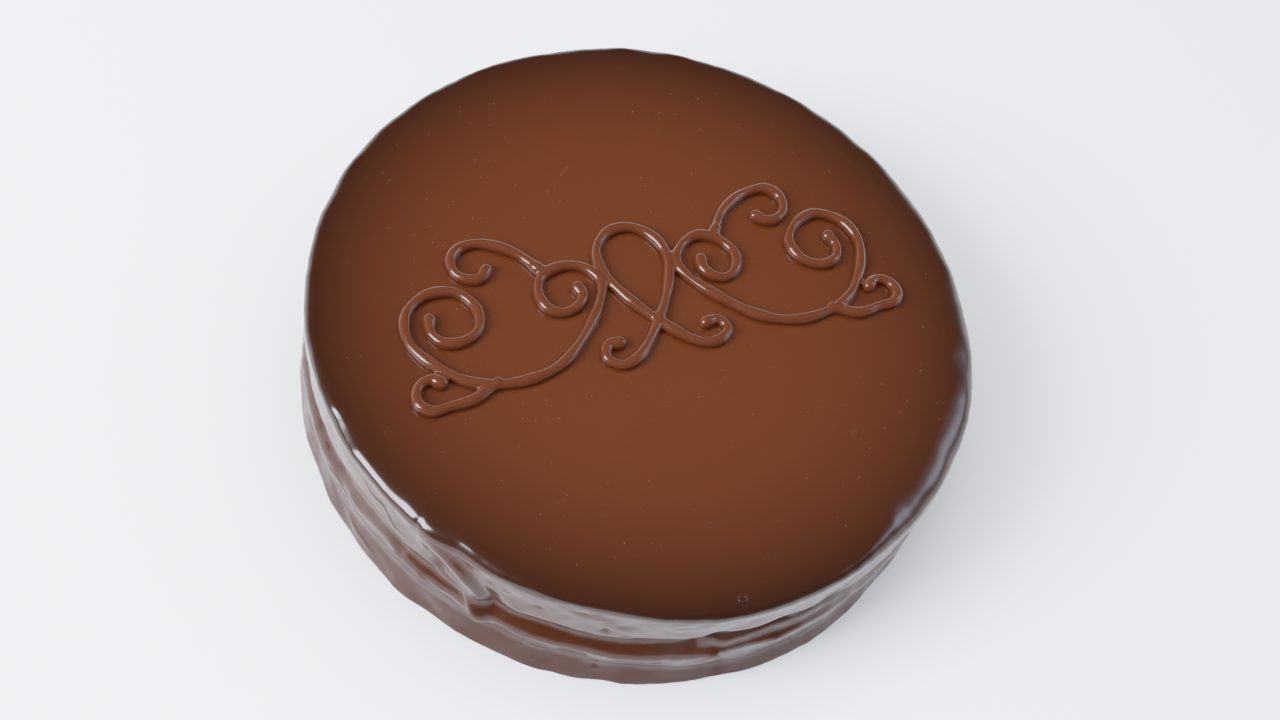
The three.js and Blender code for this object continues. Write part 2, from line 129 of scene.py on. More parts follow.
# %% Swells round the side
# Each row is the angle in degrees, then in mm the height and the stand-out of the waist, of the
# upper and the lower edge of the ledge under it, of the crest and of the neck, and last how far up
# and down their corners are softened.
SWELLS = [
    (-176, 28.6, -2.7, 27.0, -1.5, 25.4, -0.2, 23.8, 1.0, 10.5, -1.1, 1.5),
    (-170, 28.6, -2.5, 27.1, -1.4, 25.7, -0.2, 24.2, 0.9, 10.5, -1.2, 1.5),
    (-164, 32.0, -1.3, 29.8, -0.7, 27.7, -0.1, 25.5, 0.6, 11.0, -1.2, 1.5),
    (-157, 32.0, -1.3, 29.8, -0.7, 27.7, 0.0, 25.5, 0.7, 11.2, -1.3, 1.5),
    (-152, 27.4, -2.6, 26.1, -1.4, 24.9, -0.2, 23.6, 0.9, 12.0, -1.4, 1.5),
    (-146, 27.0, -2.6, 25.9, -1.4, 24.7, -0.3, 23.5, 0.9, 12.4, -1.5, 1.5),
    (-141, 26.6, -2.3, 25.4, -1.2, 24.2, -0.2, 22.9, 0.8, 12.4, -1.6, 1.5),
    (-138.4, 27.5, -1.5, 26.0, -0.8, 24.5, -0.1, 23.0, 0.8, 12.0, -1.5, 1.5),
    (-135.4, 26.2, -4.0, 24.6, -2.4, 23.0, -0.8, 21.4, 0.8, 11.4, -1.5, 1.5),
    (-129, 26.2, -4.1, 24.8, -2.4, 23.4, -0.8, 22.0, 0.8, 12.0, -1.4, 1.5),
    (-121, 26.0, -4.2, 24.6, -2.5, 23.2, -0.9, 21.8, 0.8, 11.4, -1.5, 1.5),
    (-113, 25.6, -4.2, 24.0, -2.5, 22.3, -0.9, 20.7, 0.8, 9.6, -1.4, 1.5),
    (-105, 27.0, -4.4, 24.8, -2.7, 22.6, -0.9, 20.4, 0.8, 8.6, -1.3, 1.5),
    (-101, 27.4, -4.4, 25.0, -2.7, 22.7, -0.9, 20.6, 0.8, 8.0, -1.2, 1.2),
    (-98.5, 30.4, -4.3, 28.0, -2.0, 24.1, -1.2, 22.0, 0.9, 7.6, -1.2, 1.0),
    (-96, 29.9, -4.3, 25.9, -0.9, 24.0, -1.1, 22.2, 0.9, 7.3, -1.2, 0.8),
    (-92, 30.0, -4.2, 26.5, -1.0, 24.4, -1.2, 22.3, 0.9, 6.6, -1.1, 0.8),
    (-87, 31.2, -3.8, 28.3, -1.1, 25.1, -1.3, 22.9, 0.9, 6.0, -1.0, 0.8),
    (-81, 30.8, -3.2, 28.2, -1.0, 25.7, -1.0, 23.7, 0.9, 6.0, -0.9, 0.8),
    (-68, 29.5, -1.9, 27.7, -1.0, 25.8, -0.2, 24.0, 0.7, 7.3, -1.2, 1.4),
    (-52, 30.0, -2.8, 28.0, -1.6, 26.0, -0.3, 24.0, 0.9, 9.0, -1.2, 1.5),
    (-34, 32.0, -3.0, 29.0, -1.0, 26.0, -1.4, 22.5, 1.0, 11.0, -1.4, 1.5),
    (-14, 33.0, -3.0, 30.8, -1.0, 28.2, -1.2, 25.5, 0.8, 12.0, -1.6, 1.5),
    (8, 29.0, -2.8, 26.8, -1.5, 24.7, -0.2, 22.5, 1.1, 9.5, -1.3, 1.5),
    (28, 27.5, -3.5, 25.2, -2.0, 23.0, -0.6, 20.7, 0.9, 9.5, -1.2, 1.5),
    (50, 31.0, -3.1, 29.0, -1.7, 27.0, -0.4, 25.0, 1.0, 11.5, -1.6, 1.5),
    (74, 32.5, -3.4, 29.8, -1.2, 26.6, -1.5, 23.6, 0.8, 9.5, -1.3, 1.5),
    (96, 32.5, -2.7, 30.7, -1.5, 28.8, -0.3, 27.0, 0.9, 12.5, -1.5, 1.5),
    (118, 28.0, -3.4, 25.7, -2.0, 23.5, -0.6, 21.2, 0.8, 9.5, -1.2, 1.5),
    (138, 31.5, -2.8, 29.7, -1.5, 27.8, -0.3, 26.0, 1.0, 11.0, -1.6, 1.5),
    (160, 28.5, -3.3, 26.3, -1.9, 24.2, -0.6, 22.0, 0.8, 9.5, -1.3, 1.5),
    (174, 30.0, -2.6, 28.3, -1.4, 26.7, -0.2, 25.0, 1.0, 10.5, -1.1, 1.5),
]
# Where a row holds each height, from the neck up. Its stand-out is in the column after it.
SWELL_COLUMNS = {"neck": 9, "crest": 7, "ledge foot": 5, "ledge top": 3, "waist": 1}
SOFTNESS_COLUMN = 11
CORNER_SHARES = (-1, -1 / 3, 1 / 3, 1)
print(len(SWELLS), "rows round the side")

# %% Foot, pad and rim
# (angle, how far the foot of the glaze creeps out on the plate in mm)
FOOT_OUTLINE = [
    (-176, 0.5), (-170, 0.9), (-164, 0.5), (-157, 1.0), (-150, 1.6), (-144, 0.9), (-138, 0.7), (-132, 1.1),
    (-126, 1.7), (-122, 1.0), (-118, 1.4), (-114, 0.7), (-110, 1.2), (-104, 1.5), (-95, 1.0), (-88, 1.6),
    (-75, 1.5), (-62, 0.8), (-45, 1.5), (-28, 0.8), (-12, 1.4), (4, 0.9), (20, 1.6), (38, 0.8), (55, 1.4),
    (72, 0.8), (88, 1.5), (104, 1.0), (121, 0.7), (139, 1.5), (157, 0.8), (170, 1.3),
]
# The pad under the rim, in mm: the height at which it has reached the rim's outline, how far inside
# the rim its lower edge lies, and its rise over the waist for each mm that it stands out from it.
RIM_SEAT = 50
PAD_INSET = 0.5
PAD_UNDERCUT = 2.0
# (angle, how far the rim's outline stands out in mm)
RIM_OUTLINE = [
    (-170, 0.1), (-146, -0.5), (-120, -0.8), (-94, 0.8), (-72, -0.2), (-52, 0.8), (-29, 1.5),
    (-9, 0.3), (6, 0.5), (30, 1.3), (66, 1.6), (100, 0.5), (138, 0.6), (165, 0.2),
]
# (angle, how far the rounded rim reaches in, how far it drops, both in mm)
RIM_EDGE = [
    (-178, 3.8, 3.2), (-160, 8, 4.6), (-150, 7.5, 4.6), (-145, 6, 5), (-139, 5, 4.4), (-133, 4.4, 3.4),
    (-110, 3.2, 3), (-85, 3.2, 3), (-74, 3.8, 3.2), (-60, 10, 4.8), (-48, 10, 5), (-20, 9, 4),
    (2, 6.5, 3.2), (26, 4.4, 2.6), (62, 3.6, 2.6), (100, 3.2, 2.6), (145, 3.6, 3),
]
print(len(FOOT_OUTLINE), "points round the foot and", len(RIM_EDGE), "round the rim")

# %% [markdown]
# ## Reading the rows all the way round
# The rows say how the glaze stands at some angles only. Straight lines from one row to the next
# would show as upright creases, because a gloss shows each change of slope. A smooth step has no
# crease: it leaves one row level and comes to the next one level. Up the wall the corners are
# softened by reading them a little higher and lower, and taking the mean.

# %% Rows as a smooth wall
def smooth(value, low, high):
    """0 below low, 1 above high, and an S curve in between."""
    share = np.clip((value - low) / (high - low), 0, 1)
    return share * share * (3 - 2 * share)


def around(rows, column, angle):
    """The column's value at each angle, with a smooth step from one row to the next."""
    stops = np.array([row[0] for row in rows], float)
    values = np.array([row[column] for row in rows], float)
    degrees = (np.degrees(angle) + 180) % 360 - 180
    after = np.searchsorted(stops, degrees, side="right") % len(stops)
    before = (after - 1) % len(stops)
    span = (stops[after] - stops[before]) % 360
    share = smooth(((degrees - stops[before]) % 360) / span, 0, 1)
    return values[before] + (values[after] - values[before]) * share


def swell(angle, height):
    """Stand-out in mm: straight flanks from the foot over the swells to the rim, with soft corners."""
    stops = [(0 * angle, around(FOOT_OUTLINE, 1, angle))]
    for column in SWELL_COLUMNS.values():
        stops.append((around(SWELLS, column, angle), around(SWELLS, column + 1, angle)))
    waist_height, waist = stops[-1]
    rim = around(RIM_OUTLINE, 1, angle)
    pad = rim - PAD_INSET
    stops.append((waist_height + PAD_UNDERCUT * np.maximum(pad - waist, 0), pad))
    stops.append((RIM_SEAT + 0 * angle, rim))
    softness = around(SWELLS, SOFTNESS_COLUMN, angle)
    out = 0
    for share in CORNER_SHARES:
        z = height / MM + share * softness
        out = out + stops[0][1]
        for (low, before), (high, after) in zip(stops, stops[1:]):
            out = out + (after - before) * np.clip((z - low) / (high - low), 0, 1)
    return out / len(CORNER_SHARES)


print("stand-out on the right at half height:", round(float(swell(np.zeros(1), CAKE_HEIGHT / 2)[0]), 2), "mm")

# %% [markdown]
# ## Folds
# A fold is a run of glaze that set before it reached the plate, or caught up with one that had
# already set. Seen flat, it is a curve on the wall with a lip along it: a soft bank on its left,
# and on its right a steep flank that falls into a trough. Modelled as separate strips, the folds
# would show a seam where they meet the wall, so each only lifts and lowers the wall around its
# curve. These big ones are in the solid as well.

# %% The main folds
# path holds (angle, height in mm). bank is the width of the soft side, and recovery the distance
# over which the trough fills again. lip, flank and trough are the height of the lip, the width of
# the flank and the depth of the trough, where the path starts and where it ends. All are in mm.
MAIN_FOLDS = [
    {"path": [(-152, 54), (-150, 51), (-147, 47), (-143.7, 43), (-140.6, 39), (-138.4, 34.5), (-136.8, 29),
              (-135.8, 23), (-134.6, 13)],
     "bank": 5.5, "recovery": 9.0, "lip": (1.2, 1.6), "flank": (4.8, 2.2), "trough": (1.5, 0.4)},
    {"path": [(-147, 31), (-142.5, 29.6), (-139.4, 27), (-137, 21.5), (-135.4, 14)],
     "bank": 1.0, "recovery": 1.0, "lip": (1.0, 1.0), "flank": (4.0, 3.0), "trough": (0, 0)},
    {"path": [(-96.8, 25), (-97.2, 21.5), (-98.4, 17), (-100.7, 12)],
     "bank": 2.0, "recovery": 2.0, "lip": (0.9, 0.9), "flank": (1.6, 1.6), "trough": (0.2, 0.2)},
    {"path": [(21, 46), (26, 41), (33, 33), (37, 22)],
     "bank": 4.0, "recovery": 12.0, "lip": (2.0, 2.0), "flank": (6.0, 6.0), "trough": (1.7, 1.7)},
    {"path": [(128, 45), (123, 39), (116, 29), (113, 15)],
     "bank": 4.0, "recovery": 12.0, "lip": (1.9, 1.9), "flank": (6.0, 6.0), "trough": (1.6, 1.6)},
]
FOLD_STEPS = 24
# A fold dies away over this much of its path at each end, and sinks into the rim over this height.
FOLD_FADE = 7 * MM
RIM_FADE = 11 * MM
TROUGH_AT_RIM = 0.1
print(len(MAIN_FOLDS), "main folds")


# %% A curve, and what lies beside it
def through(points, steps):
    """A smooth curve through the points, as steps straight pieces."""
    points = np.asarray(points, float)
    padded = np.vstack([points[0], points, points[-1]])
    place = np.linspace(0, len(points) - 1, steps + 1)
    first = np.minimum(place.astype(int), len(points) - 2)
    t = (place - first)[:, None]
    p0, p1, p2, p3 = (padded[first + k] for k in range(4))
    slope = (p2 - p0) / 2
    bend = p0 - 2.5 * p1 + 2 * p2 - p3 / 2
    twist = 1.5 * (p1 - p2) + (p3 - p0) / 2
    return p1 + t * (slope + t * (bend + t * twist))


def beside(curve, x, y):
    """For each point: how far the curve is, how far to its right the point lies, and the share of
    the curve that has passed there."""
    steps = len(curve) - 1
    nearest = np.full(x.shape, np.inf)
    rightward = np.zeros(x.shape)
    share = np.zeros(x.shape)
    for i in range(steps):
        start_x, start_y = curve[i]
        piece_x, piece_y = curve[i + 1] - curve[i]
        length_squared = piece_x * piece_x + piece_y * piece_y
        t = np.clip(((x - start_x) * piece_x + (y - start_y) * piece_y) / length_squared, 0, 1)
        distance = np.hypot(x - start_x - t * piece_x, y - start_y - t * piece_y)
        closer = distance < nearest
        side = np.sign(piece_x * (y - start_y) - piece_y * (x - start_x))
        nearest[closer] = distance[closer]
        rightward[closer] = (side * distance)[closer]
        share[closer] = (i + t)[closer] / steps
    return nearest, rightward, share


straight = through([(0, 0), (1, 0), (2, 0)], FOLD_STEPS)
print("a curve of", FOLD_STEPS, "pieces goes from", straight[0], "to", straight[-1])


# %% What a fold does to the wall
def bell(value):
    """A soft bump: 1 at zero, nearly gone at 2."""
    return np.exp(-value * value)


def fold_lift(fold, angle, height, steps=FOLD_STEPS):
    """How far one fold lifts the wall, at arrays of angles and heights."""
    knots = [(math.radians(place) * CAKE_RADIUS, z * MM) for place, z in fold["path"]]
    curve = through(knots, steps)
    middle = curve[:, 0].mean() / CAKE_RADIUS
    x = ((angle - middle + math.pi) % TURN - math.pi + middle) * CAKE_RADIUS
    nearest, rightward, share = beside(curve, x, height)
    length = np.linalg.norm(curve[-1] - curve[0])
    fade = smooth(np.minimum(share, 1 - share) * length, 0, FOLD_FADE)
    ends = (fold["lip"], fold["flank"], fold["trough"])
    lip, flank, trough = (first + (last - first) * share ** 2 for first, last in ends)
    below_rim = smooth(CAKE_HEIGHT - height, 0, RIM_FADE)
    right_of_lip = rightward / MM
    lip_here = lip * below_rim
    trough_here = trough * (TROUGH_AT_RIM + (1 - TROUGH_AT_RIM) * below_rim)
    left_side = lip_here * bell(nearest / MM / fold["bank"])
    down_flank = lip_here - (lip_here + trough_here) * smooth(right_of_lip, 0, flank)
    beyond = -trough_here * (1 - smooth(right_of_lip, flank, flank + fold["recovery"]))
    on_the_right = np.where(right_of_lip < flank, down_flank, beyond)
    return fade * np.where(right_of_lip < 0, left_side, on_the_right) * MM


def relief(angle, height):
    """How far the glaze stands out from the plain wall."""
    out = swell(angle, height) * MM
    for fold in MAIN_FOLDS:
        out = out + fold_lift(fold, angle, height)
    return out


first_path = MAIN_FOLDS[0]["path"]
halfway_angle, halfway_height = first_path[len(first_path) // 2]
halfway = (np.array([math.radians(halfway_angle)]), np.array([halfway_height * MM]))
print("the first fold stands out", round(fold_lift(MAIN_FOLDS[0], *halfway)[0] / MM, 2), "mm halfway down")

# %% [markdown]
# ## Ripples
# Warm glaze is never quite still when it sets, and it keeps a faint ripple. A noise texture would
# only tint the shading, and a sum of sine waves with seeded directions gives real form. It is
# smooth, and it closes round the cake, because each wave makes a whole number of laps.

# %% The ripple of the skin
RIPPLE_WAVES = 26
WAVE_SHARE = math.sqrt(2 / RIPPLE_WAVES)
# The seed of the waves, then their shortest and longest length and their typical height, in mm
BROAD_RIPPLE = (3, 14, 26, 0.2)
FINE_RIPPLE = (5, 5, 9, 0.045)


def ripple(seed, shortest, longest, level, angle, height):
    """A smooth random field in mm, periodic round the cake, with a typical height of level mm."""
    random = np.random.default_rng(seed)
    out = np.zeros(np.broadcast(angle, height).shape)
    for _ in range(RIPPLE_WAVES):
        length = random.uniform(shortest, longest)
        lean = random.uniform(0, math.pi)
        laps = round(TURN * CAKE_RADIUS / MM / length * math.cos(lean))
        rise = TURN / length * math.sin(lean)
        out = out + np.sin(laps * angle + rise * height / MM + random.uniform(0, TURN))
    return out * level * WAVE_SHARE


every_degree = np.radians(np.arange(360))
print("broad ripple, mm:", round(float(ripple(*BROAD_RIPPLE, every_degree, 0).std()), 3))

# %% [markdown]
# ## Small marks in the skin
# An air bubble that burst, the tip of a spatula or a crumb leaves a pit, and a bubble that held
# leaves a pimple. Each mark is a soft bump or pit with its own place, size and depth. Those on the
# near side are listed one by one, and the rest are strewn by a seeded draw.

# %% Pits and pimples
# (angle, height, half-width along the wall, half-height, how far it stands out), in mm but for the angle
MARKS = [
    (-116.5, 37.1, 1.3, 1.2, -0.9), (-113.2, 33.8, 1.7, 0.7, -0.45), (-114.2, 41.2, 2.2, 1.6, -0.35),
    (-136.2, 42.5, 0.9, 0.8, -0.2), (-134.0, 39.5, 1.4, 0.6, -0.2), (-127.6, 41.0, 1.6, 0.9, -0.4),
    (-145.0, 34.7, 2.4, 1.5, -1.2), (-152.4, 24.5, 2.0, 2.4, -0.8), (-96.4, 17.4, 1.4, 1.5, -1.0),
    (-150.2, 48.5, 1.3, 4.0, -0.4), (-95.0, 4.8, 3.0, 2.6, -0.6), (-116.0, 8.4, 1.0, 0.9, -0.6),
    (-115.8, 6.9, 0.9, 0.8, 0.3), (-108.0, 17.6, 0.7, 0.7, 0.4), (-109.2, 27.2, 1.6, 0.9, 0.55),
    (-110.4, 29.0, 1.4, 1.0, -0.35), (-128.6, 10.3, 0.7, 0.7, 0.4), (-126.0, 4.9, 0.6, 0.6, 0.35),
    (-123.2, 14.4, 1.4, 1.1, -0.5), (-169.0, 17.2, 1.9, 1.8, 0.55), (-164.0, 25.5, 5.0, 3.2, 0.5),
    (-75.0, 37.0, 3.2, 3.0, -0.6), (-104.5, 45.5, 3.0, 1.1, -0.3), (-121.0, 46.0, 2.4, 1.0, -0.3),
]
# The strewn ones: their half-heights and their heights on the wall in mm, how far they stand out as a
# share of the half-height, and how many times as wide as high they are
STREWN_MARKS = 70
STREWN_SEED = 41
STREWN_SIZES = (0.6, 1.5)
STREWN_HEIGHTS = (3, 47)
STREWN_LIFTS = (-0.22, -0.16, 0.18)
STREWN_WIDENING = 1.3
# A mark has died away this many half-widths from its middle.
MARK_REACH = 6

mark_random = np.random.default_rng(STREWN_SEED)
for _ in range(STREWN_MARKS):
    size = mark_random.uniform(*STREWN_SIZES)
    lift = size * mark_random.choice(STREWN_LIFTS)
    place = mark_random.uniform(-180, 180)
    height = mark_random.uniform(*STREWN_HEIGHTS)
    MARKS.append((place, height, size * STREWN_WIDENING, size, lift))


def marks_lift(angle, height):
    """How far all the marks together lift the wall."""
    out = np.zeros(angle.shape)
    for place, z, half_width, half_height, lift in MARKS:
        across = ((angle - math.radians(place) + math.pi) % TURN - math.pi) * CAKE_RADIUS / MM / half_width
        up = (height / MM - z) / half_height
        near = np.abs(across) + np.abs(up) < MARK_REACH
        out[near] += lift * np.exp(-across[near] ** 2 - up[near] ** 2)
    return out * MM


print(len(MARKS), "marks")

# %% [markdown]
# ## Wrinkles
# Where the half-set skin was pushed it keeps thin wrinkles, and beside a main fold a second, finer
# lip. They have the form of a fold, so the same function makes them with smaller numbers. They
# stay out of the solid, which would need many more faces for them.

# %% The fine folds
FINE_FOLDS = [
    {"path": [(-163, 43.6), (-160, 41.0), (-157.5, 41.4), (-155.8, 38.0), (-153.8, 35.6), (-151, 35.3)],
     "bank": 0.7, "recovery": 1.4, "lip": (0.25, 0.25), "flank": (0.8, 0.8), "trough": (0.12, 0.12)},
    {"path": [(-89, 30.3), (-86, 31.0), (-83, 30.6), (-79.5, 30.4)],
     "bank": 0.6, "recovery": 1.0, "lip": (0.4, 0.4), "flank": (0.8, 0.8), "trough": (0.2, 0.2)},
    {"path": [(-131.5, 21.0), (-129.5, 19.2), (-127, 18.6), (-124.5, 17), (-121, 18.4)],
     "bank": 1.0, "recovery": 1.5, "lip": (0.4, 0.4), "flank": (1.6, 1.6), "trough": (0, 0)},
    {"path": [(-176, 20.5), (-171.5, 21), (-168.5, 22.6), (-165.5, 19.8), (-160, 17.6), (-156.5, 17.4),
              (-153.5, 20.6), (-151, 22.0)],
     "bank": 1.2, "recovery": 1.5, "lip": (0.45, 0.45), "flank": (1.8, 1.8), "trough": (0, 0)},
    {"path": [(-166, 6.6), (-162, 6.0), (-157, 4.6)],
     "bank": 0.9, "recovery": 1.5, "lip": (0.35, 0.35), "flank": (1.4, 1.4), "trough": (0, 0)},
    {"path": [(-148.5, 24), (-146.5, 20.6), (-143, 19), (-139, 17), (-136, 15.2)],
     "bank": 1.1, "recovery": 1.5, "lip": (0.45, 0.45), "flank": (1.6, 1.6), "trough": (0, 0)},
    {"path": [(-118, 14.8), (-112, 14.9), (-106, 13.6), (-101.5, 11.6)],
     "bank": 1.0, "recovery": 1.5, "lip": (0.3, 0.3), "flank": (1.4, 1.4), "trough": (0, 0)},
    {"path": [(-90, 19.5), (-84, 20.2), (-77, 17.6), (-73, 15)],
     "bank": 1.1, "recovery": 1.5, "lip": (0.35, 0.35), "flank": (1.6, 1.6), "trough": (0, 0)},
]
FINE_STEPS = 16


def fine_relief(angle, height):
    """What this skin has over and above the solid."""
    out = marks_lift(angle, height)
    for fold in FINE_FOLDS:
        out = out + fold_lift(fold, angle, height, FINE_STEPS)
    below_rim = smooth(CAKE_HEIGHT - height, 0, RIM_FADE)
    broad = ripple(*BROAD_RIPPLE, angle, height) * below_rim
    return out + (broad + ripple(*FINE_RIPPLE, angle, height)) * MM


def skin_radius(angle, height):
    """How far the finished side is from the middle of the cake."""
    return CAKE_RADIUS + relief(angle, height) + fine_relief(angle, height)


print(len(FINE_FOLDS), "fine folds")

# %% [markdown]
# ## The top
# Glaze poured on the middle spreads outwards and thins a little towards the rim, so the top is
# level in the middle and falls a millimetre. It mirrors the room like still water, so even a
# waviness of a few hundredths of a millimetre shows, and it gets one of its own.

# %% Height of the top
# The seed of the waves, then their shortest and longest length and their typical height, in mm
TOP_RIPPLES = [(11, 30, 60, 0.03), (13, 9, 16, 0.004)]


def top_height(radius):
    """Height of the poured top without its waviness."""
    return CAKE_HEIGHT - RIM_FALL * smooth(radius, LEVEL_RADIUS, CAKE_RADIUS)


def top_ripple(angle, radius):
    """The faint waviness of the poured top."""
    x = radius * np.cos(angle) / MM
    y = radius * np.sin(angle) / MM
    out = 0 * x
    for seed, shortest, longest, level in TOP_RIPPLES:
        random = np.random.default_rng(seed)
        for _ in range(RIPPLE_WAVES):
            pace = TURN / random.uniform(shortest, longest)
            lean, shift = random.uniform(0, TURN, 2)
            wave = np.sin(pace * (x * math.cos(lean) + y * math.sin(lean)) + shift)
            out = out + wave * level * WAVE_SHARE
    return out * MM


print("the rim lies", round((CAKE_HEIGHT - top_height(CAKE_RADIUS)) / MM, 1), "mm lower than the middle")

# %% [markdown]
# ## One closed skin
# Base, side, rounded rim and top are one surface on the real cake, so they are one closed mesh of
# rings: up the side, over the rim in a quarter of an ellipse, and in to the middle. A subdivided
# cylinder would spend its faces evenly, and here they crowd where the folds and the rim are.

# %% A point of the skin
# Ripples of the rim: its reach and its drop vary by a share of themselves, its outline by mm.
REACH_RIPPLE = (17, 14, 34, 0.12)
DROP_RIPPLE = (19, 14, 34, 0.08)
OUTLINE_RIPPLE = (23, 24, 60, 0.1)
# The outline's ripple fades in from this share of the side's height.
OUTLINE_RIPPLE_START = 0.8


def body_point(angle, surface, share):
    """Radius and height of one ring of the skin, at an array of angles."""
    reach = around(RIM_EDGE, 1, angle) * (1 + ripple(*REACH_RIPPLE, angle, 0)) * MM
    drop = around(RIM_EDGE, 2, angle) * (1 + ripple(*DROP_RIPPLE, angle, 0)) * MM
    waver = ripple(*OUTLINE_RIPPLE, angle, 0) * MM
    edge_height = top_height(CAKE_RADIUS) - drop
    edge_radius = skin_radius(angle, edge_height) + waver
    if surface == "base":
        foot_radius = skin_radius(angle, np.full(angle.shape, FOOT_ROUND)) - FOOT_ROUND
        return foot_radius * (1 - share), 0 * angle
    if surface == "side":
        height = FOOT_ROUND + share * (edge_height - FOOT_ROUND)
        return skin_radius(angle, height) + waver * smooth(share, OUTLINE_RIPPLE_START, 1), height
    if surface == "edge":
        turn = share * math.pi / 2
        inner = edge_radius - reach
        high = top_height(inner) + top_ripple(angle, inner)
        return inner + reach * math.cos(turn), edge_height + (high - edge_height) * math.sin(turn)
    radius = (edge_radius - reach) * (1 - share)
    return radius, top_height(radius) + top_ripple(angle, radius)


right_edge = body_point(np.zeros(1), "edge", 0)[0]
print("on the right the rim is", round(right_edge[0] / MM, 1), "mm from the middle")

# %% Rings and columns of the mesh
COLUMNS = 660
SIDE_ROWS = 100
EDGE_ROWS = 16
TOP_ROWS = 24
BASE_ROWS = 3
# Above 1, the rings of the top crowd towards the rim.
TOP_CROWDING = 1.6
# Between these angles in degrees the columns grow twice as close, and then wide again.
CLOSE_FROM = (-186, -172)
CLOSE_UNTIL = (-66, -46)
CLOSENESS_STEPS = 20000


def column_angles():
    """Columns round the body, twice as close on the side where the folds are fine."""
    fine = np.linspace(-180, 180, CLOSENESS_STEPS + 1)
    density = 1 + smooth(fine, *CLOSE_FROM) * (1 - smooth(fine, *CLOSE_UNTIL))
    total = np.concatenate([[0], np.cumsum((density[1:] + density[:-1]) / 2)])
    return np.radians(np.interp(np.arange(COLUMNS) / COLUMNS * total[-1], total, fine))


rings = [("base", 1 - i / BASE_ROWS) for i in range(1, BASE_ROWS + 1)]
rings += [("side", i / SIDE_ROWS) for i in range(SIDE_ROWS + 1)]
rings += [("edge", i / EDGE_ROWS) for i in range(1, EDGE_ROWS + 1)]
rings += [("top", (i / TOP_ROWS) ** TOP_CROWDING) for i in range(1, TOP_ROWS)]
angles = column_angles()
print(len(rings), "rings of", len(angles), "points")


# %% Build the glazed cake
def shade_smooth(mesh):
    """Lets the light run over the faces without a step at their edges."""
    mesh.polygons.foreach_set("use_smooth", np.ones(len(mesh.polygons), bool))
    mesh.update()


def ring_mesh(name, radii, heights, angles, bottom, top):
    """A closed mesh from rings of points, with one point in the middle of its bottom and its top."""
    count, columns = radii.shape
    points = np.stack([radii * np.cos(angles), radii * np.sin(angles), heights], -1).reshape(-1, 3)
    points = np.vstack([points, [[0, 0, bottom], [0, 0, top]]])
    row, column = np.meshgrid(np.arange(count - 1), np.arange(columns), indexing="ij")
    after = (column + 1) % columns
    quads = np.stack([row * columns + column, row * columns + after,
                      (row + 1) * columns + after, (row + 1) * columns + column], -1).reshape(-1, 4)
    column = np.arange(columns)
    after = (column + 1) % columns
    bottom_point = count * columns
    low = np.stack([after, column, np.full(columns, bottom_point)], -1)
    last = (count - 1) * columns
    high = np.stack([last + column, last + after, np.full(columns, bottom_point + 1)], -1)
    mesh = bpy.data.meshes.new(name)
    mesh.from_pydata(points.tolist(), [], quads.tolist() + low.tolist() + high.tolist())
    shade_smooth(mesh)
    return add_object(name, mesh)


ring_points = [body_point(angles, *ring) for ring in rings]
radii = np.array([radius for radius, height in ring_points])
heights = np.array([height for radius, height in ring_points])
middle_height = CAKE_HEIGHT + float(top_ripple(0.0, 0.0))
body = ring_mesh("glazed_cake", radii, heights, angles, 0.0, middle_height)
print("glazed cake:", len(body.data.polygons), "faces")

# %% [markdown]
# ## Many small things in one mesh
# Hundreds of bubbles as separate objects would be slow to draw and hard to pass on. Their points
# and faces are strung together in one list instead, with each face's numbers moved up by the
# points that came before it. The strokes of the scroll are joined in the same way.

# %% Joining parts
def joined(parts, name):
    """One object from parts, each of them vertices in metres and faces."""
    vertices = []
    faces = []
    for points, part_faces in parts:
        offset = len(vertices)
        vertices += [tuple(point) for point in points]
        faces += [tuple(offset + i for i in face) for face in part_faces]
    mesh = bpy.data.meshes.new(name)
    mesh.from_pydata(vertices, [], faces)
    mesh.update()
    return add_object(name, mesh)


# %% [markdown]
# ## Bubbles in the top
# Stirring beats a little air into the glaze. As it sets, the bubbles rise and stay under the skin
# as pimples smaller than a pinhead, which catch the light, and a large one now and then leaves a
# ring where it broke. A bump map would flatten them seen from low down, so each is a small dome of
# its own.

# %% Sizes of the bubbles, in mm
BUBBLE_COUNT = 340
BUBBLE_SEED = 7
BUBBLE_SIZES = (0.2, 0.42)
# Above 1, small bubbles are more common than large ones.
SMALL_BUBBLE_BIAS = 1.5
# The rise is a share of the dome's radius, and the sink is how far its foot is under the surface.
BUBBLE_RISE = 0.42
BUBBLE_SINK = 0.04
# Bubbles lie within this distance of the middle.
BUBBLE_REACH = 104
BUBBLE_SIDES = 8
BUBBLE_ROWS = 3
# (x, y, radius of the ring, radius of its lip)
BROKEN_BUBBLES = [(-10.2, -107.8, 1.25, 0.3), (-62.0, 41.0, 0.8, 0.2), (48.5, -64.0, 0.7, 0.2)]
BROKEN_SIDES = 20
print(BUBBLE_COUNT, "whole and", len(BROKEN_BUBBLES), "broken bubbles")


# %% A whole bubble
def glaze_height(x, y):
    """Height of the glaze at a place on the top, all in mm."""
    angle = math.atan2(y, x)
    radius = math.hypot(x, y) * MM
    return float(top_height(radius) + top_ripple(angle, radius)) / MM


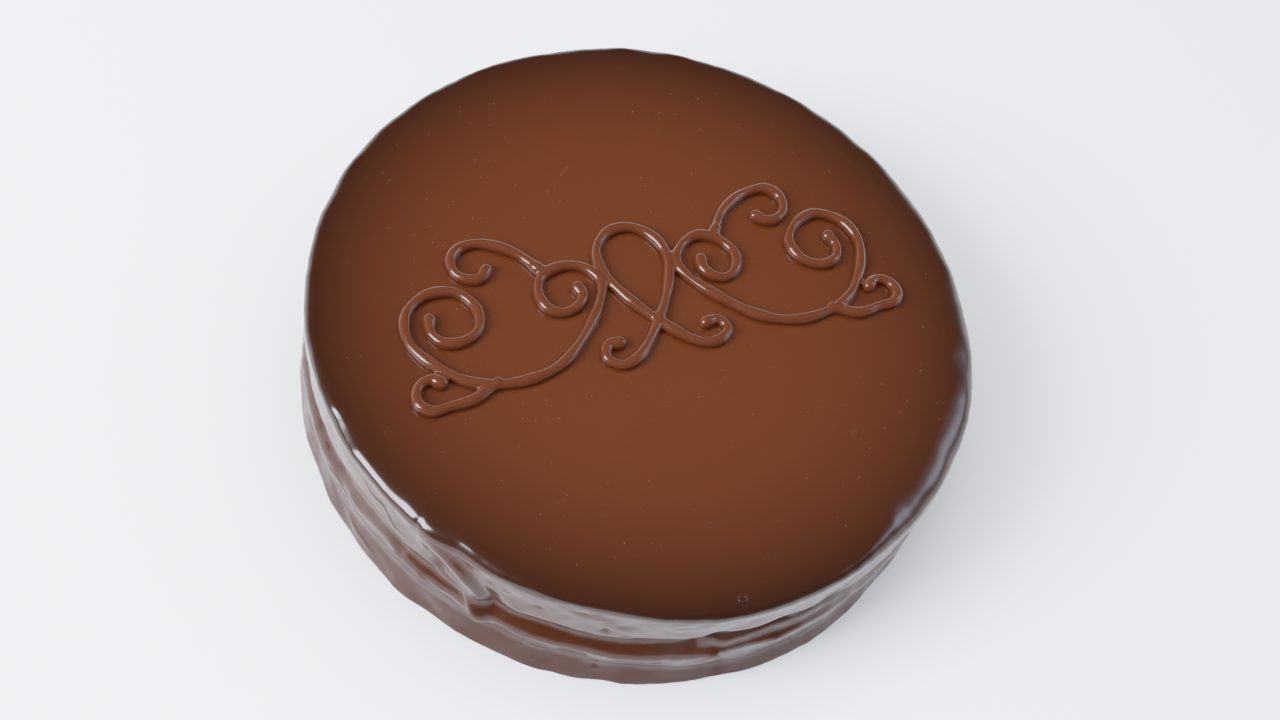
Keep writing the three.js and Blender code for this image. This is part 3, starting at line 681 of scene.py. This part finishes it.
def dome(x, y, size):
    """Vertices and faces of one closed dome, a little sunk into the glaze."""
    z = glaze_height(x, y) - BUBBLE_SINK
    vertices = []
    for row in range(BUBBLE_ROWS):
        lean = math.pi / 2 * row / BUBBLE_ROWS
        wide = size * math.cos(lean)
        up = size * BUBBLE_RISE * math.sin(lean)
        for side in range(BUBBLE_SIDES):
            turn = TURN * side / BUBBLE_SIDES
            vertices.append((x + wide * math.cos(turn), y + wide * math.sin(turn), z + up))
    vertices.append((x, y, z + size * BUBBLE_RISE))
    tip = len(vertices) - 1
    last = (BUBBLE_ROWS - 1) * BUBBLE_SIDES
    faces = [tuple(reversed(range(BUBBLE_SIDES)))]
    for side in range(BUBBLE_SIDES):
        after = (side + 1) % BUBBLE_SIDES
        for row in range(BUBBLE_ROWS - 1):
            low = row * BUBBLE_SIDES
            high = low + BUBBLE_SIDES
            faces.append((low + side, low + after, high + after, high + side))
        faces.append((last + side, last + after, tip))
    return vertices, faces


print("one bubble has", len(dome(0, 0, BUBBLE_SIZES[1])[1]), "faces")


# %% A broken bubble
def broken_ring(x, y, radius, lip):
    """Vertices and faces of the lip that a broken bubble leaves."""
    z = glaze_height(x, y)
    vertices = []
    faces = []
    for i in range(BROKEN_SIDES):
        turn = TURN * i / BROKEN_SIDES
        low = i * BUBBLE_SIDES
        high = (i + 1) % BROKEN_SIDES * BUBBLE_SIDES
        for side in range(BUBBLE_SIDES):
            lean = TURN * side / BUBBLE_SIDES
            wide = radius + lip * math.cos(lean)
            up = lip * BUBBLE_RISE * math.sin(lean)
            vertices.append((x + wide * math.cos(turn), y + wide * math.sin(turn), z + up))
            after = (side + 1) % BUBBLE_SIDES
            faces.append((low + side, high + side, high + after, low + after))
    return vertices, faces


print("a broken one has", len(broken_ring(*BROKEN_BUBBLES[0])[1]), "faces")

# %% Strew the bubbles
bubble_random = np.random.default_rng(BUBBLE_SEED)
smallest, largest = BUBBLE_SIZES
bubble_parts = [broken_ring(*broken) for broken in BROKEN_BUBBLES]
for _ in range(BUBBLE_COUNT):
    reach = BUBBLE_REACH * math.sqrt(bubble_random.uniform(0, 1))
    turn = bubble_random.uniform(0, TURN)
    size = bubble_random.uniform(0, 1) ** SMALL_BUBBLE_BIAS * (largest - smallest) + smallest
    bubble_parts.append(dome(reach * math.cos(turn), reach * math.sin(turn), size))
bubble_parts = [(np.array(points) * MM, faces) for points, faces in bubble_parts]
bubbles = joined(bubble_parts, "glaze_bubbles")
shade_smooth(bubbles.data)
print("bubbles:", len(bubbles.data.polygons), "faces")

# %% [markdown]
# ## The strokes of the scroll
# The ornament is piped in seven strokes: a loop in the middle, and on each side a long scroll with
# a volute at both ends, a tendril above it and a tail below it. A drawn curve would need a long
# list of points. A volute is a spiral, so a function works out its points from a few sizes, and
# only the free stretches between them are listed one by one. The left side mirrors the right one, and
# then a slow waver takes away the exactness that no hand has.

# %% Sizes of the scroll, in mm
VOLUTE_POINTS = 8
ARC_PIECES = 5
# A volute is (x, y, first radius, last radius, first angle in degrees, turns, sense).
SCROLL_INNER = (27, 10, 4.6, 12.8, -200, 1.05, 1)
SCROLL_BELLY = [(33, -13.5), (49, -19), (68, -15)]
SCROLL_OUTER = (67.5, 7.5, 15, 5.6, -18, 1.12, 1)
TENDRIL_STEM = [(33, 21.5), (38.5, 29), (46.5, 34.5)]
TENDRIL_CURL = (54, 27.5, 8.6, 5.0, 112, 0.72, -1)
TAIL_STEM = [(60, -17.8), (69, -22), (77.5, -22)]
TAIL_CURL = (80.5, -15.8, 6.3, 4.0, -72, 0.6, 1)
LOOP_FOOT = [(-15.5, -13.2), (-19.6, -12.6), (-21.6, -16.8), (-17.6, -20.8), (-11.6, -20.2),
             (-5.2, -15), (1.2, -7), (8.4, 4.8)]
# The head is an arc: (x, y, radius, first angle, last angle).
LOOP_HEAD = (0, 17.5, 12.5, -10, 190)
# The waver of the hand is a sum of waves: (size, pace along x, pace along y, phase).
WAVER_X = [(0.55, 0.045, 0.11, 0.6), (0.3, 0.31, 0, 1.0)]
WAVER_Y = [(0.6, 0.083, 0, 0.9), (0.3, 0.29, 0.21, 2.0)]
print("the tail's eye is", round(math.hypot(*TAIL_CURL[:2])), "mm from the middle")


# %% Draw the strokes
def volute(x, y, first, last, start, turns, sense):
    """Points of a spiral."""
    steps = math.ceil(turns * VOLUTE_POINTS)
    points = []
    for i in range(steps + 1):
        share = i / steps
        radius = first + (last - first) * share
        angle = math.radians(start) + sense * turns * TURN * share
        points.append((x + radius * math.cos(angle), y + radius * math.sin(angle)))
    return points


def arc(x, y, radius, start, stop):
    """Points of an arc."""
    turns = [math.radians(start + (stop - start) * i / ARC_PIECES) for i in range(ARC_PIECES + 1)]
    return [(x + radius * math.cos(a), y + radius * math.sin(a)) for a in turns]


def mirrored(points):
    """The same points on the other side of the scroll's middle."""
    return [(-x, y) for x, y in points]


def waver(waves, x, y):
    """How far the hand strays at a place."""
    return sum(size * math.sin(pace_x * x + pace_y * y + phase) for size, pace_x, pace_y, phase in waves)


def by_hand(x, y):
    """Where a hand that pipes freely puts the point."""
    return x + waver(WAVER_X, x, y), y + waver(WAVER_Y, x, y)


right_strokes = [
    volute(*SCROLL_INNER) + SCROLL_BELLY + volute(*SCROLL_OUTER),
    TENDRIL_STEM + volute(*TENDRIL_CURL),
    TAIL_STEM + volute(*TAIL_CURL),
]
loop = LOOP_FOOT + arc(*LOOP_HEAD) + mirrored(LOOP_FOOT)[::-1]
strokes = right_strokes + [mirrored(stroke) for stroke in right_strokes] + [loop]
print(len(strokes), "strokes")

# %% [markdown]
# ## Sweeping the cord
# A cord of soft chocolate comes out of a small round nozzle, lies down on the set glaze and keeps
# its round section. It is fatter where the hand starts and stops, and its thickness wavers with
# the pressure. A Blender curve with a bevel would be round too, but its ends are flat, so the tube
# is swept in numbers, with a dome of rings at each end.

# %% Sizes of the cord, in mm
# Its radius, how much fatter its ends are, and how high its middle lies above the glaze
ROPE_RADIUS = 1.95
ROPE_BULB = 0.5
ROPE_LIFT = 1.25
CORD_STEP = 0.6
CORD_SIDES = 20
CAP_RINGS = 6
# Its thickness wavers by a share of itself over a length, out of step from one stroke to the next.
THICKNESS_WAVER = 0.1
WAVER_LENGTH = 17.0
PHASE_STEP = 2.1
print("cord", 2 * ROPE_RADIUS, "mm thick and", 2 * (ROPE_RADIUS + ROPE_BULB), "mm at its ends")


# %% A smooth line through a stroke
def centripetal(points, step):
    """A curve through the points with even steps, rounder at close points than a plain spline."""
    points = np.asarray(points, float)
    padded = np.vstack([2 * points[0] - points[1], points, 2 * points[-1] - points[-2]])
    found = []
    for i in range(len(points) - 1):
        p = padded[i:i + 4]
        knots = np.concatenate([[0], np.cumsum(np.linalg.norm(np.diff(p, axis=0), axis=1) ** 0.5)])
        pieces = max(2, int(np.linalg.norm(p[2] - p[1]) / step) + 1)
        t = np.linspace(knots[1], knots[2], pieces, endpoint=False)[:, None]

        def between(a, b, low, high):
            return ((knots[high] - t) * a + (t - knots[low]) * b) / (knots[high] - knots[low])

        a1 = between(p[0], p[1], 0, 1)
        a2 = between(p[1], p[2], 1, 2)
        a3 = between(p[2], p[3], 2, 3)
        b1 = between(a1, a2, 0, 2)
        b2 = between(a2, a3, 1, 3)
        found.append(between(b1, b2, 1, 2))
    found.append(points[-1:])
    return np.vstack(found)


print("the loop has", len(centripetal(loop, CORD_STEP)), "points")


# %% Rings along a stroke
def cord_rings(points, phase):
    """Middle, direction, size and height of each ring of one stroke, in mm."""
    line = centripetal([by_hand(x, y) for x, y in points], CORD_STEP)
    steps = np.linalg.norm(np.diff(line, axis=0), axis=1)
    along = np.concatenate([[0], np.cumsum(steps)])
    forward = np.gradient(line, along, axis=0)
    forward /= np.linalg.norm(forward, axis=1)[:, None]
    near_end = np.minimum(along, along[-1] - along)
    fatter = 1 + (ROPE_BULB / ROPE_RADIUS) * (1 - smooth(near_end, 0, 2 * ROPE_RADIUS))
    fatter *= 1 + THICKNESS_WAVER * np.sin(along / WAVER_LENGTH * TURN + phase)
    radius = ROPE_RADIUS * np.minimum(fatter, 1 + ROPE_BULB / ROPE_RADIUS)
    seat = top_height(np.hypot(line[:, 0], line[:, 1]) * MM) / MM + ROPE_LIFT

    def end_ring(end, outward, cap):
        """One ring of the dome at the start, with outward -1, or at the end, with outward 1."""
        lean = math.pi / 2 * (cap + 0.5) / CAP_RINGS
        beyond = outward * forward[end] * radius[end] * math.cos(lean)
        return line[end] + beyond, forward[end], radius[end] * math.sin(lean), seat[end]

    start_dome = [end_ring(0, -1, cap) for cap in range(CAP_RINGS)]
    end_dome = [end_ring(-1, 1, cap) for cap in reversed(range(CAP_RINGS))]
    return start_dome + list(zip(line, forward, radius, seat)) + end_dome


print("the loop has", len(cord_rings(loop, 0)), "rings with its ends")


# %% The swept tubes
def cord_mesh(points, phase):
    """Vertices in metres and faces of one stroke: a round tube with rounded, fatter ends."""
    found = cord_rings(points, phase)
    vertices = []
    for place, ahead, size, height in found:
        for turn in np.arange(CORD_SIDES) / CORD_SIDES * TURN:
            across = size * math.cos(turn)
            up = size * math.sin(turn)
            vertices.append((place[0] + ahead[1] * across, place[1] - ahead[0] * across, height + up))
    last = (len(found) - 1) * CORD_SIDES
    faces = []
    for low in range(0, last, CORD_SIDES):
        high = low + CORD_SIDES
        for side in range(CORD_SIDES):
            after = (side + 1) % CORD_SIDES
            faces.append((low + side, low + after, high + after, high + side))
    faces.append(tuple(reversed(range(CORD_SIDES))))
    faces.append(tuple(last + side for side in range(CORD_SIDES)))
    return np.array(vertices) * MM, faces


cord_parts = [cord_mesh(stroke, PHASE_STEP * i) for i, stroke in enumerate(strokes)]
print("swept tubes:", sum(len(faces) for points, faces in cord_parts), "faces")

# %% [markdown]
# ## Fusing the strokes
# Where one stroke crosses another, the soft cords melt together with a small fillet. A Boolean
# union would leave a hard crease there. A voxel remesh wraps one even skin round all the tubes,
# and a few rounds of smoothing take the steps of the voxels away.

# %% The fused scroll
FUSE_VOXEL = 0.4 * MM
FUSE_SMOOTH = 6


def fused(parts, name):
    """Joins the parts into one mesh and melts them together."""
    made = joined(parts, name)
    remesh = made.modifiers.new("melt", "REMESH")
    remesh.mode = "VOXEL"
    remesh.voxel_size = FUSE_VOXEL
    settle = made.modifiers.new("settle", "SMOOTH")
    settle.iterations = FUSE_SMOOTH
    evaluated = made.evaluated_get(bpy.context.evaluated_depsgraph_get())
    mesh = bpy.data.meshes.new_from_object(evaluated)
    made.modifiers.clear()
    made.data = mesh
    shade_smooth(mesh)
    return made


scroll = fused(cord_parts, "piped_scroll")
print("piped scroll:", len(scroll.data.polygons), "faces")

# %% [markdown]
# ## Colours, nodes and materials
# Colours are picked on a screen as sRGB hex, but a shader adds light, which needs linear values,
# so one function turns the first into the second. A material is a tree of nodes. One small helper
# adds a node with its settings and its links, so that every tree below reads as a list of what
# feeds what.

# %% Colours
# The sRGB curve: a straight toe, then a power with an offset
SRGB_TOE = 0.04045
SRGB_TOE_SLOPE = 12.92
SRGB_OFFSET = 0.055
SRGB_POWER = 2.4
FULL_CHANNEL = 255


def linear(hex_colour):
    """An sRGB hex colour as the linear numbers that a shader adds up, with a full alpha."""
    channels = []
    for start in (1, 3, 5):
        channel = int(hex_colour[start:start + 2], 16) / FULL_CHANNEL
        if channel <= SRGB_TOE:
            channels.append(channel / SRGB_TOE_SLOPE)
        else:
            channels.append(((channel + SRGB_OFFSET) / (1 + SRGB_OFFSET)) ** SRGB_POWER)
    return (*channels, 1.0)


print("white is", linear("#ffffff"))

# %% Nodes and materials
# With this setting a Map Range node goes from one limit to the other in an S curve.
S_CURVE = {"interpolation_type": "SMOOTHSTEP"}


def add_node(tree, kind, settings=None, **links):
    """Adds one node. Settings are its own properties, or inputs by name or number. Links are outputs
    to plug in: into the input of that name, or for i0, i1 and so on into the input of that number."""
    made = tree.nodes.new(kind)
    for name, value in (settings or {}).items():
        if isinstance(name, str) and hasattr(made, name):
            setattr(made, name, value)
        else:
            made.inputs[name].default_value = value
    for name, output in links.items():
        numbered = name[1:].isdigit()
        socket = made.inputs[int(name[1:])] if numbered else made.inputs[name.replace("_", " ")]
        tree.links.new(output, socket)
    return made


def new_material(name):
    """A material with an empty tree, and the tree."""
    made = bpy.data.materials.new(name)
    made.use_nodes = True
    made.node_tree.nodes.clear()
    return made, made.node_tree


print("materials so far:", [material.name for material in bpy.data.materials])

# %% [markdown]
# ## Poured chocolate glaze
# Sugar syrup and dark chocolate are boiled together and poured warm. The glaze sets as a dense,
# opaque skin with fine sugar crystals just under a fatty surface. To the eye that is a deep brown
# body under a soft gloss, which a slightly rough base under a clear coat gives. Along the rim and
# on the side the brown is painted darker, as painted shade. Low down the sugar has bloomed here and
# there, so the gloss is weaker in soft patches. An image could hold all that, but height and
# distance from the middle are enough, and they work from every side.

# %% Colours of the glaze
GLAZE_BODY = linear("#5a2a10")
# The wall's brown is the glaze's own brown, painted darker than the top's as painted shade.
WALL_BROWN_SHADED = linear("#431f0e")
# The rim's brown is painted shade: the top is painted darker towards its rim.
RIM_PAINTED_SHADE = linear("#2b1004")
RIM_RADIUS = 112 * MM
# The higher the power, the narrower the ring of painted shade along the rim.
RIM_SHARPNESS = 4.0
# The wall's brown, darkened with painted shade, gives way to the top's brown between these heights.
COLOUR_BREAK = {"From Min": 44 * MM, "From Max": 51 * MM}
print("body colour", [round(channel, 3) for channel in GLAZE_BODY])

# %% Gloss of the glaze
# Weight of the clear coat: full on the top, then less on the pad, the lower wall and the dull foot
TOP_COAT = 1.0
BAND_COAT = 0.66
WALL_COAT = 0.5
FOOT_COAT = 0.24
# Heights where the coat of the top, of the pad and of the dull foot begins
RIM_BREAK = {"From Min": 47 * MM, "From Max": 51 * MM}
SHINE_BREAK = {"From Min": 22 * MM, "From Max": 34 * MM}
FOOT_BREAK = (20 * MM, 11 * MM)
# The foot is dull on the left of the middle, but not on the far left.
DULL_SIDE = {"From Min": 25 * MM, "From Max": -25 * MM}
BRIGHT_SIDE = {"From Min": -106 * MM, "From Max": -75 * MM}
# The edge of the dull foot rises and falls by this much, in patches of this size.
PATCH_SIZE = 28 * MM
PATCH_RISE = 9 * MM
# The base has the IOR of sugar glass, 1.5. The coat starts from cocoa butter, 1.46, and is raised
# until the windows are as bright in it as in the real glaze.
GLAZE_SHEEN = {
    "Roughness": 0.3, "IOR": 1.5, "Specular IOR Level": 0.2, "Coat Roughness": 0.14, "Coat IOR": 1.62,
}
print("coat from", FOOT_COAT, "at the dull foot to", TOP_COAT, "on the top")


# %% Browns of the glaze
def glaze_colour(tree, place, height):
    """Top brown above, a darker wall brown with painted shade below, and a ring of painted shade along the
    rim.
    """
    flat = add_node(tree, "ShaderNodeVectorMath", {"operation": "MULTIPLY", 1: (1, 1, 0)}, i0=place)
    radius = add_node(tree, "ShaderNodeVectorMath", {"operation": "LENGTH"}, i0=flat.outputs[0])
    share = add_node(tree, "ShaderNodeMath", {"operation": "DIVIDE", 1: RIM_RADIUS},
                     i0=radius.outputs["Value"])
    outward = add_node(tree, "ShaderNodeMath",
                       {"operation": "POWER", 1: RIM_SHARPNESS, "use_clamp": True}, i0=share.outputs[0])
    high = add_node(tree, "ShaderNodeMapRange", {**S_CURVE, **COLOUR_BREAK}, Value=height)
    # Where the painted shade of the rim lies: towards the rim, and on the top only.
    painted_rim_shade = add_node(tree, "ShaderNodeMath", {"operation": "MULTIPLY"},
                      i0=outward.outputs[0], i1=high.outputs["Result"])
    by_height = add_node(tree, "ShaderNodeMix", {"data_type": "RGBA", 6: WALL_BROWN_SHADED, 7: GLAZE_BODY},
                         Factor=high.outputs["Result"])
    colour = add_node(tree, "ShaderNodeMix", {"data_type": "RGBA", 7: RIM_PAINTED_SHADE},
                      Factor=painted_rim_shade.outputs[0], i6=by_height.outputs[2])
    return colour.outputs[2]


glaze, glaze_tree = new_material("poured_chocolate_glaze")
glaze_place = add_node(glaze_tree, "ShaderNodeTexCoord").outputs["Object"]
glaze_split = add_node(glaze_tree, "ShaderNodeSeparateXYZ", i0=glaze_place)
glaze_brown = glaze_colour(glaze_tree, glaze_place, glaze_split.outputs["Z"])
print("nodes with the browns:", len(glaze_tree.nodes))


# %% Coat of the glaze
def glaze_coat(tree, place, sideways, height):
    """Weight of the clear coat: dull in patches at the foot, brighter on the pad, full on the top."""
    patches = add_node(tree, "ShaderNodeTexNoise", {"Scale": 1 / PATCH_SIZE, "Detail": 1.0}, Vector=place)
    wavy = add_node(tree, "ShaderNodeMath", {"operation": "MULTIPLY_ADD", 1: PATCH_RISE},
                    i0=patches.outputs["Fac"], i2=height)
    foot_top, foot_full = (limit + PATCH_RISE / 2 for limit in FOOT_BREAK)
    low = add_node(tree, "ShaderNodeMapRange", {**S_CURVE, "From Min": foot_top, "From Max": foot_full},
                   Value=wavy.outputs[0])
    left = add_node(tree, "ShaderNodeMapRange", {**S_CURVE, **DULL_SIDE}, Value=sideways)
    not_far_left = add_node(tree, "ShaderNodeMapRange", {**S_CURVE, **BRIGHT_SIDE}, Value=sideways)
    middle = add_node(tree, "ShaderNodeMath", {"operation": "MULTIPLY"},
                      i0=left.outputs["Result"], i1=not_far_left.outputs["Result"])
    dull = add_node(tree, "ShaderNodeMath", {"operation": "MULTIPLY"},
                    i0=low.outputs["Result"], i1=middle.outputs[0])
    wall = add_node(tree, "ShaderNodeMapRange", {**S_CURVE, "To Min": WALL_COAT, "To Max": FOOT_COAT},
                    Value=dull.outputs[0])
    band_share = add_node(tree, "ShaderNodeMapRange", {**S_CURVE, **SHINE_BREAK}, Value=height)
    band = add_node(tree, "ShaderNodeMix", {"data_type": "FLOAT", 3: BAND_COAT},
                    Factor=band_share.outputs["Result"], i2=wall.outputs["Result"])
    top_share = add_node(tree, "ShaderNodeMapRange", {**S_CURVE, **RIM_BREAK}, Value=height)
    coat = add_node(tree, "ShaderNodeMix", {"data_type": "FLOAT", 3: TOP_COAT},
                    Factor=top_share.outputs["Result"], i2=band.outputs[0])
    return coat.outputs[0]


glaze_shine = glaze_coat(glaze_tree, glaze_place, glaze_split.outputs["X"], glaze_split.outputs["Z"])
print("nodes with the coat:", len(glaze_tree.nodes))

# %% The glaze material
glaze_shader = add_node(glaze_tree, "ShaderNodeBsdfPrincipled", GLAZE_SHEEN,
                        Base_Color=glaze_brown, Coat_Weight=glaze_shine)
add_node(glaze_tree, "ShaderNodeOutputMaterial", Surface=glaze_shader.outputs[0])
body.data.materials.append(glaze)
bubbles.data.materials.append(glaze)
print(glaze.name, "has", len(glaze_tree.nodes), "nodes")

# %% [markdown]
# ## Piped chocolate
# The cord is melted dark chocolate, pressed out of the nozzle and left to set in the air. Without
# the boiled sugar of the glaze its brown is a little redder, and it sets with a tight shiny skin.
# To the eye that is one colour with thin bright lines along each curl. Bubbles, grain or patches
# don't show on a cord this thin, so its form does the rest, and it takes one shader.

# %% The piped chocolate material
PIPED_BODY = linear("#5a2b16")
piped, piped_tree = new_material("piped_chocolate")
piped_shader = add_node(piped_tree, "ShaderNodeBsdfPrincipled", {
    "Base Color": PIPED_BODY, "Roughness": 0.25, "IOR": 1.5, "Specular IOR Level": 0.2,
    "Coat Weight": 0.8, "Coat Roughness": 0.1, "Coat IOR": 1.58,
})
add_node(piped_tree, "ShaderNodeOutputMaterial", Surface=piped_shader.outputs[0])
scroll.data.materials.append(piped)
print(piped.name, "has", len(piped_tree.nodes), "nodes")

# %% [markdown]
# ## The table
# The cake is shown on a plain pale table, painted wood with a matt varnish: white with a hint of
# grey, and too rough to mirror anything. It only has to reach past the frame and be mirrored in the
# side of the cake, so a large square does.

# %% Painted table
TABLE_PAINT = linear("#f8f9f9")
TABLE_HALF = 8.0
TABLE_CORNERS = [(-TABLE_HALF, -TABLE_HALF, 0), (TABLE_HALF, -TABLE_HALF, 0),
                 (TABLE_HALF, TABLE_HALF, 0), (-TABLE_HALF, TABLE_HALF, 0)]
floor_data = bpy.data.meshes.new("floor")
floor_data.from_pydata(TABLE_CORNERS, [], [(0, 1, 2, 3)])
floor = add_object("floor", floor_data)
paint, paint_tree = new_material("pale_painted_table")
paint_shader = add_node(paint_tree, "ShaderNodeBsdfPrincipled", {"Base Color": TABLE_PAINT, "Roughness": 0.6})
add_node(paint_tree, "ShaderNodeOutputMaterial", Surface=paint_shader.outputs[0])
floor.data.materials.append(paint)
print("table", 2 * TABLE_HALF, "m square")

# %% [markdown]
# ## Windows
# A shiny thing shows the shape of what lights it, so small lamps would leave hard dots in the
# glaze. Each light is a soft rectangle as large as a window or a ceiling instead. The left window
# draws the white line along the rim. The right one is behind a thin curtain, so it is brightest in
# its middle, as panes inside one another. The open sky on the left and the ceiling only light the
# cake: mirrored as well, they would wash the brown out.

# %% Daylight
LEFT_DAYLIGHT = "#f2f6ff"
CURTAIN_DAYLIGHT = "#dfe8ff"
CEILING_LIGHT = "#f6f9ff"
# (width in m, radiance) of each pane of the right window
CURTAIN_PANES = [(0.45, 3.2), (0.75, 2.6), (1.05, 1.3), (1.4, 0.5), (1.8, 0.25)]
PANE_HEIGHT_SHARE = 0.85


def window(name, azimuth, elevation, distance, width, height, radiance, colour):
    """A soft light that looks at the cake, in metres and degrees. Azimuth goes anticlockwise from +X."""
    data = bpy.data.lights.new(name, "AREA")
    data.shape = "RECTANGLE"
    data.size = width
    data.size_y = height
    data.energy = radiance * math.pi * width * height
    data.color = linear(colour)[:3]
    turn = math.radians(azimuth)
    rise = math.radians(elevation)
    direction = Vector((math.cos(turn) * math.cos(rise), math.sin(turn) * math.cos(rise), math.sin(rise)))
    made = add_object(name, data)
    made.location = direction * distance
    made.rotation_mode = "QUATERNION"
    made.rotation_quaternion = direction.to_track_quat("Z", "Y")
    return made


window("window_left", azimuth=180, elevation=34, distance=2.4, width=1.05, height=1.25,
       radiance=14.4, colour=LEFT_DAYLIGHT)
sky_left = window("sky_left", azimuth=181, elevation=36, distance=2.4, width=2.6, height=1.6,
                  radiance=3.6, colour=LEFT_DAYLIGHT)
sky_left.visible_glossy = False
for i, (width, radiance) in enumerate(CURTAIN_PANES):
    window(f"window_right_{i}", azimuth=-6, elevation=37, distance=2.6, width=width,
           height=PANE_HEIGHT_SHARE * width, radiance=radiance, colour=CURTAIN_DAYLIGHT)
ceiling = window("ceiling", azimuth=90, elevation=88, distance=2.2, width=3.0, height=3.0,
                 radiance=2.4, colour=CEILING_LIGHT)
ceiling.visible_glossy = False
print(len(bpy.data.lights), "lights")

# %% [markdown]
# ## The room
# Where the glaze mirrors no window it mirrors the room: dark overhead, hazy near the horizon, and
# bright low down on the far side, where a pale wall is in the light. A panorama of a real room
# would do that, but it is an image. This one is worked out from the direction in which a ray
# leaves, whose z is 1 straight up and 0 at the horizon, and it stays put when the view moves.

# %% The room's light
ROOM_COLOUR = linear("#fafbfc")
ROOM_DARK = 0.08
ROOM_HAZE = 0.4
ROOM_GLOW = 1.5
# The haze and the glow grow from nothing to full between two values of the direction's z, and the
# glow also between two values of how much the direction points to the viewer's side of the room.
HAZE_BREAK = {"From Min": 0.4, "From Max": -0.05}
GLOW_BREAK = {"From Min": 0.5, "From Max": 0.0}
FAR_SIDE_BREAK = {"From Min": 0.35, "From Max": -0.25}
VIEWER_SIDE = (math.cos(CAMERA_AZIMUTH), math.sin(CAMERA_AZIMUTH), 0.0)

world = bpy.data.worlds.new("room")
bpy.context.scene.world = world
world.use_nodes = True
room = world.node_tree
room.nodes.clear()
way = add_node(room, "ShaderNodeTexCoord").outputs["Generated"]
way_up = add_node(room, "ShaderNodeSeparateXYZ", i0=way).outputs["Z"]
low = add_node(room, "ShaderNodeMapRange", {**S_CURVE, **GLOW_BREAK}, Value=way_up)
facing = add_node(room, "ShaderNodeVectorMath", {"operation": "DOT_PRODUCT", 1: VIEWER_SIDE}, i0=way)
far_side = add_node(room, "ShaderNodeMapRange", {**S_CURVE, **FAR_SIDE_BREAK},
                    Value=facing.outputs["Value"])
glow = add_node(room, "ShaderNodeMath", {"operation": "MULTIPLY"},
                i0=low.outputs["Result"], i1=far_side.outputs["Result"])
haze = add_node(room, "ShaderNodeMapRange",
                {**S_CURVE, **HAZE_BREAK, "To Min": ROOM_DARK, "To Max": ROOM_HAZE}, Value=way_up)
strength = add_node(room, "ShaderNodeMath", {"operation": "MULTIPLY_ADD", 1: ROOM_GLOW},
                    i0=glow.outputs[0], i2=haze.outputs["Result"])
air = add_node(room, "ShaderNodeBackground", {"Color": ROOM_COLOUR}, Strength=strength.outputs[0])
add_node(room, "ShaderNodeOutputWorld", Surface=air.outputs[0])
print("the room has", len(room.nodes), "nodes")

# %% [markdown]
# ## The film
# Film holds bright light back, so that a white table keeps its tone and doesn't burn out. Blender's
# own film looks do that too, but they grey the browns. The plain view with one curve leaves the
# dark tones alone and bends the bright ones, the more the brighter they are.

# %% Film curve
FILM_WHITE = 2.6
FILM_TOP = 0.96
# (light in the scene, how bright it is shown), and FILM_TOP for a light of FILM_WHITE
FILM_POINTS = [(0.25, 0.25), (0.6, 0.5), (1.0, 0.68), (1.6, 0.83)]
COMBINED_CURVE = 3

view = bpy.context.scene.view_settings
view.view_transform = "Standard"
view.use_curve_mapping = True
film = view.curve_mapping
film.white_level = (FILM_WHITE, FILM_WHITE, FILM_WHITE)
response = film.curves[COMBINED_CURVE]
for scene_light, shown in FILM_POINTS:
    response.points.new(scene_light / FILM_WHITE, shown)
response.points[-1].location = (1.0, FILM_TOP)
film.update()
print("film curve of", len(response.points), "points")

# %% [markdown]
# ## Dressing the model
# The model's own cake is one plain solid in a single material. The glazed cake, the bubbles and the
# scroll lie exactly where it is and stand for it, so it is hidden. All three ride on the model's
# one body.

# %% Dress the model
for piece in (body, bubbles, scroll):
    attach(piece, "root")
    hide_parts("cake")
print("dressed with", body.name, bubbles.name, "and", scroll.name)
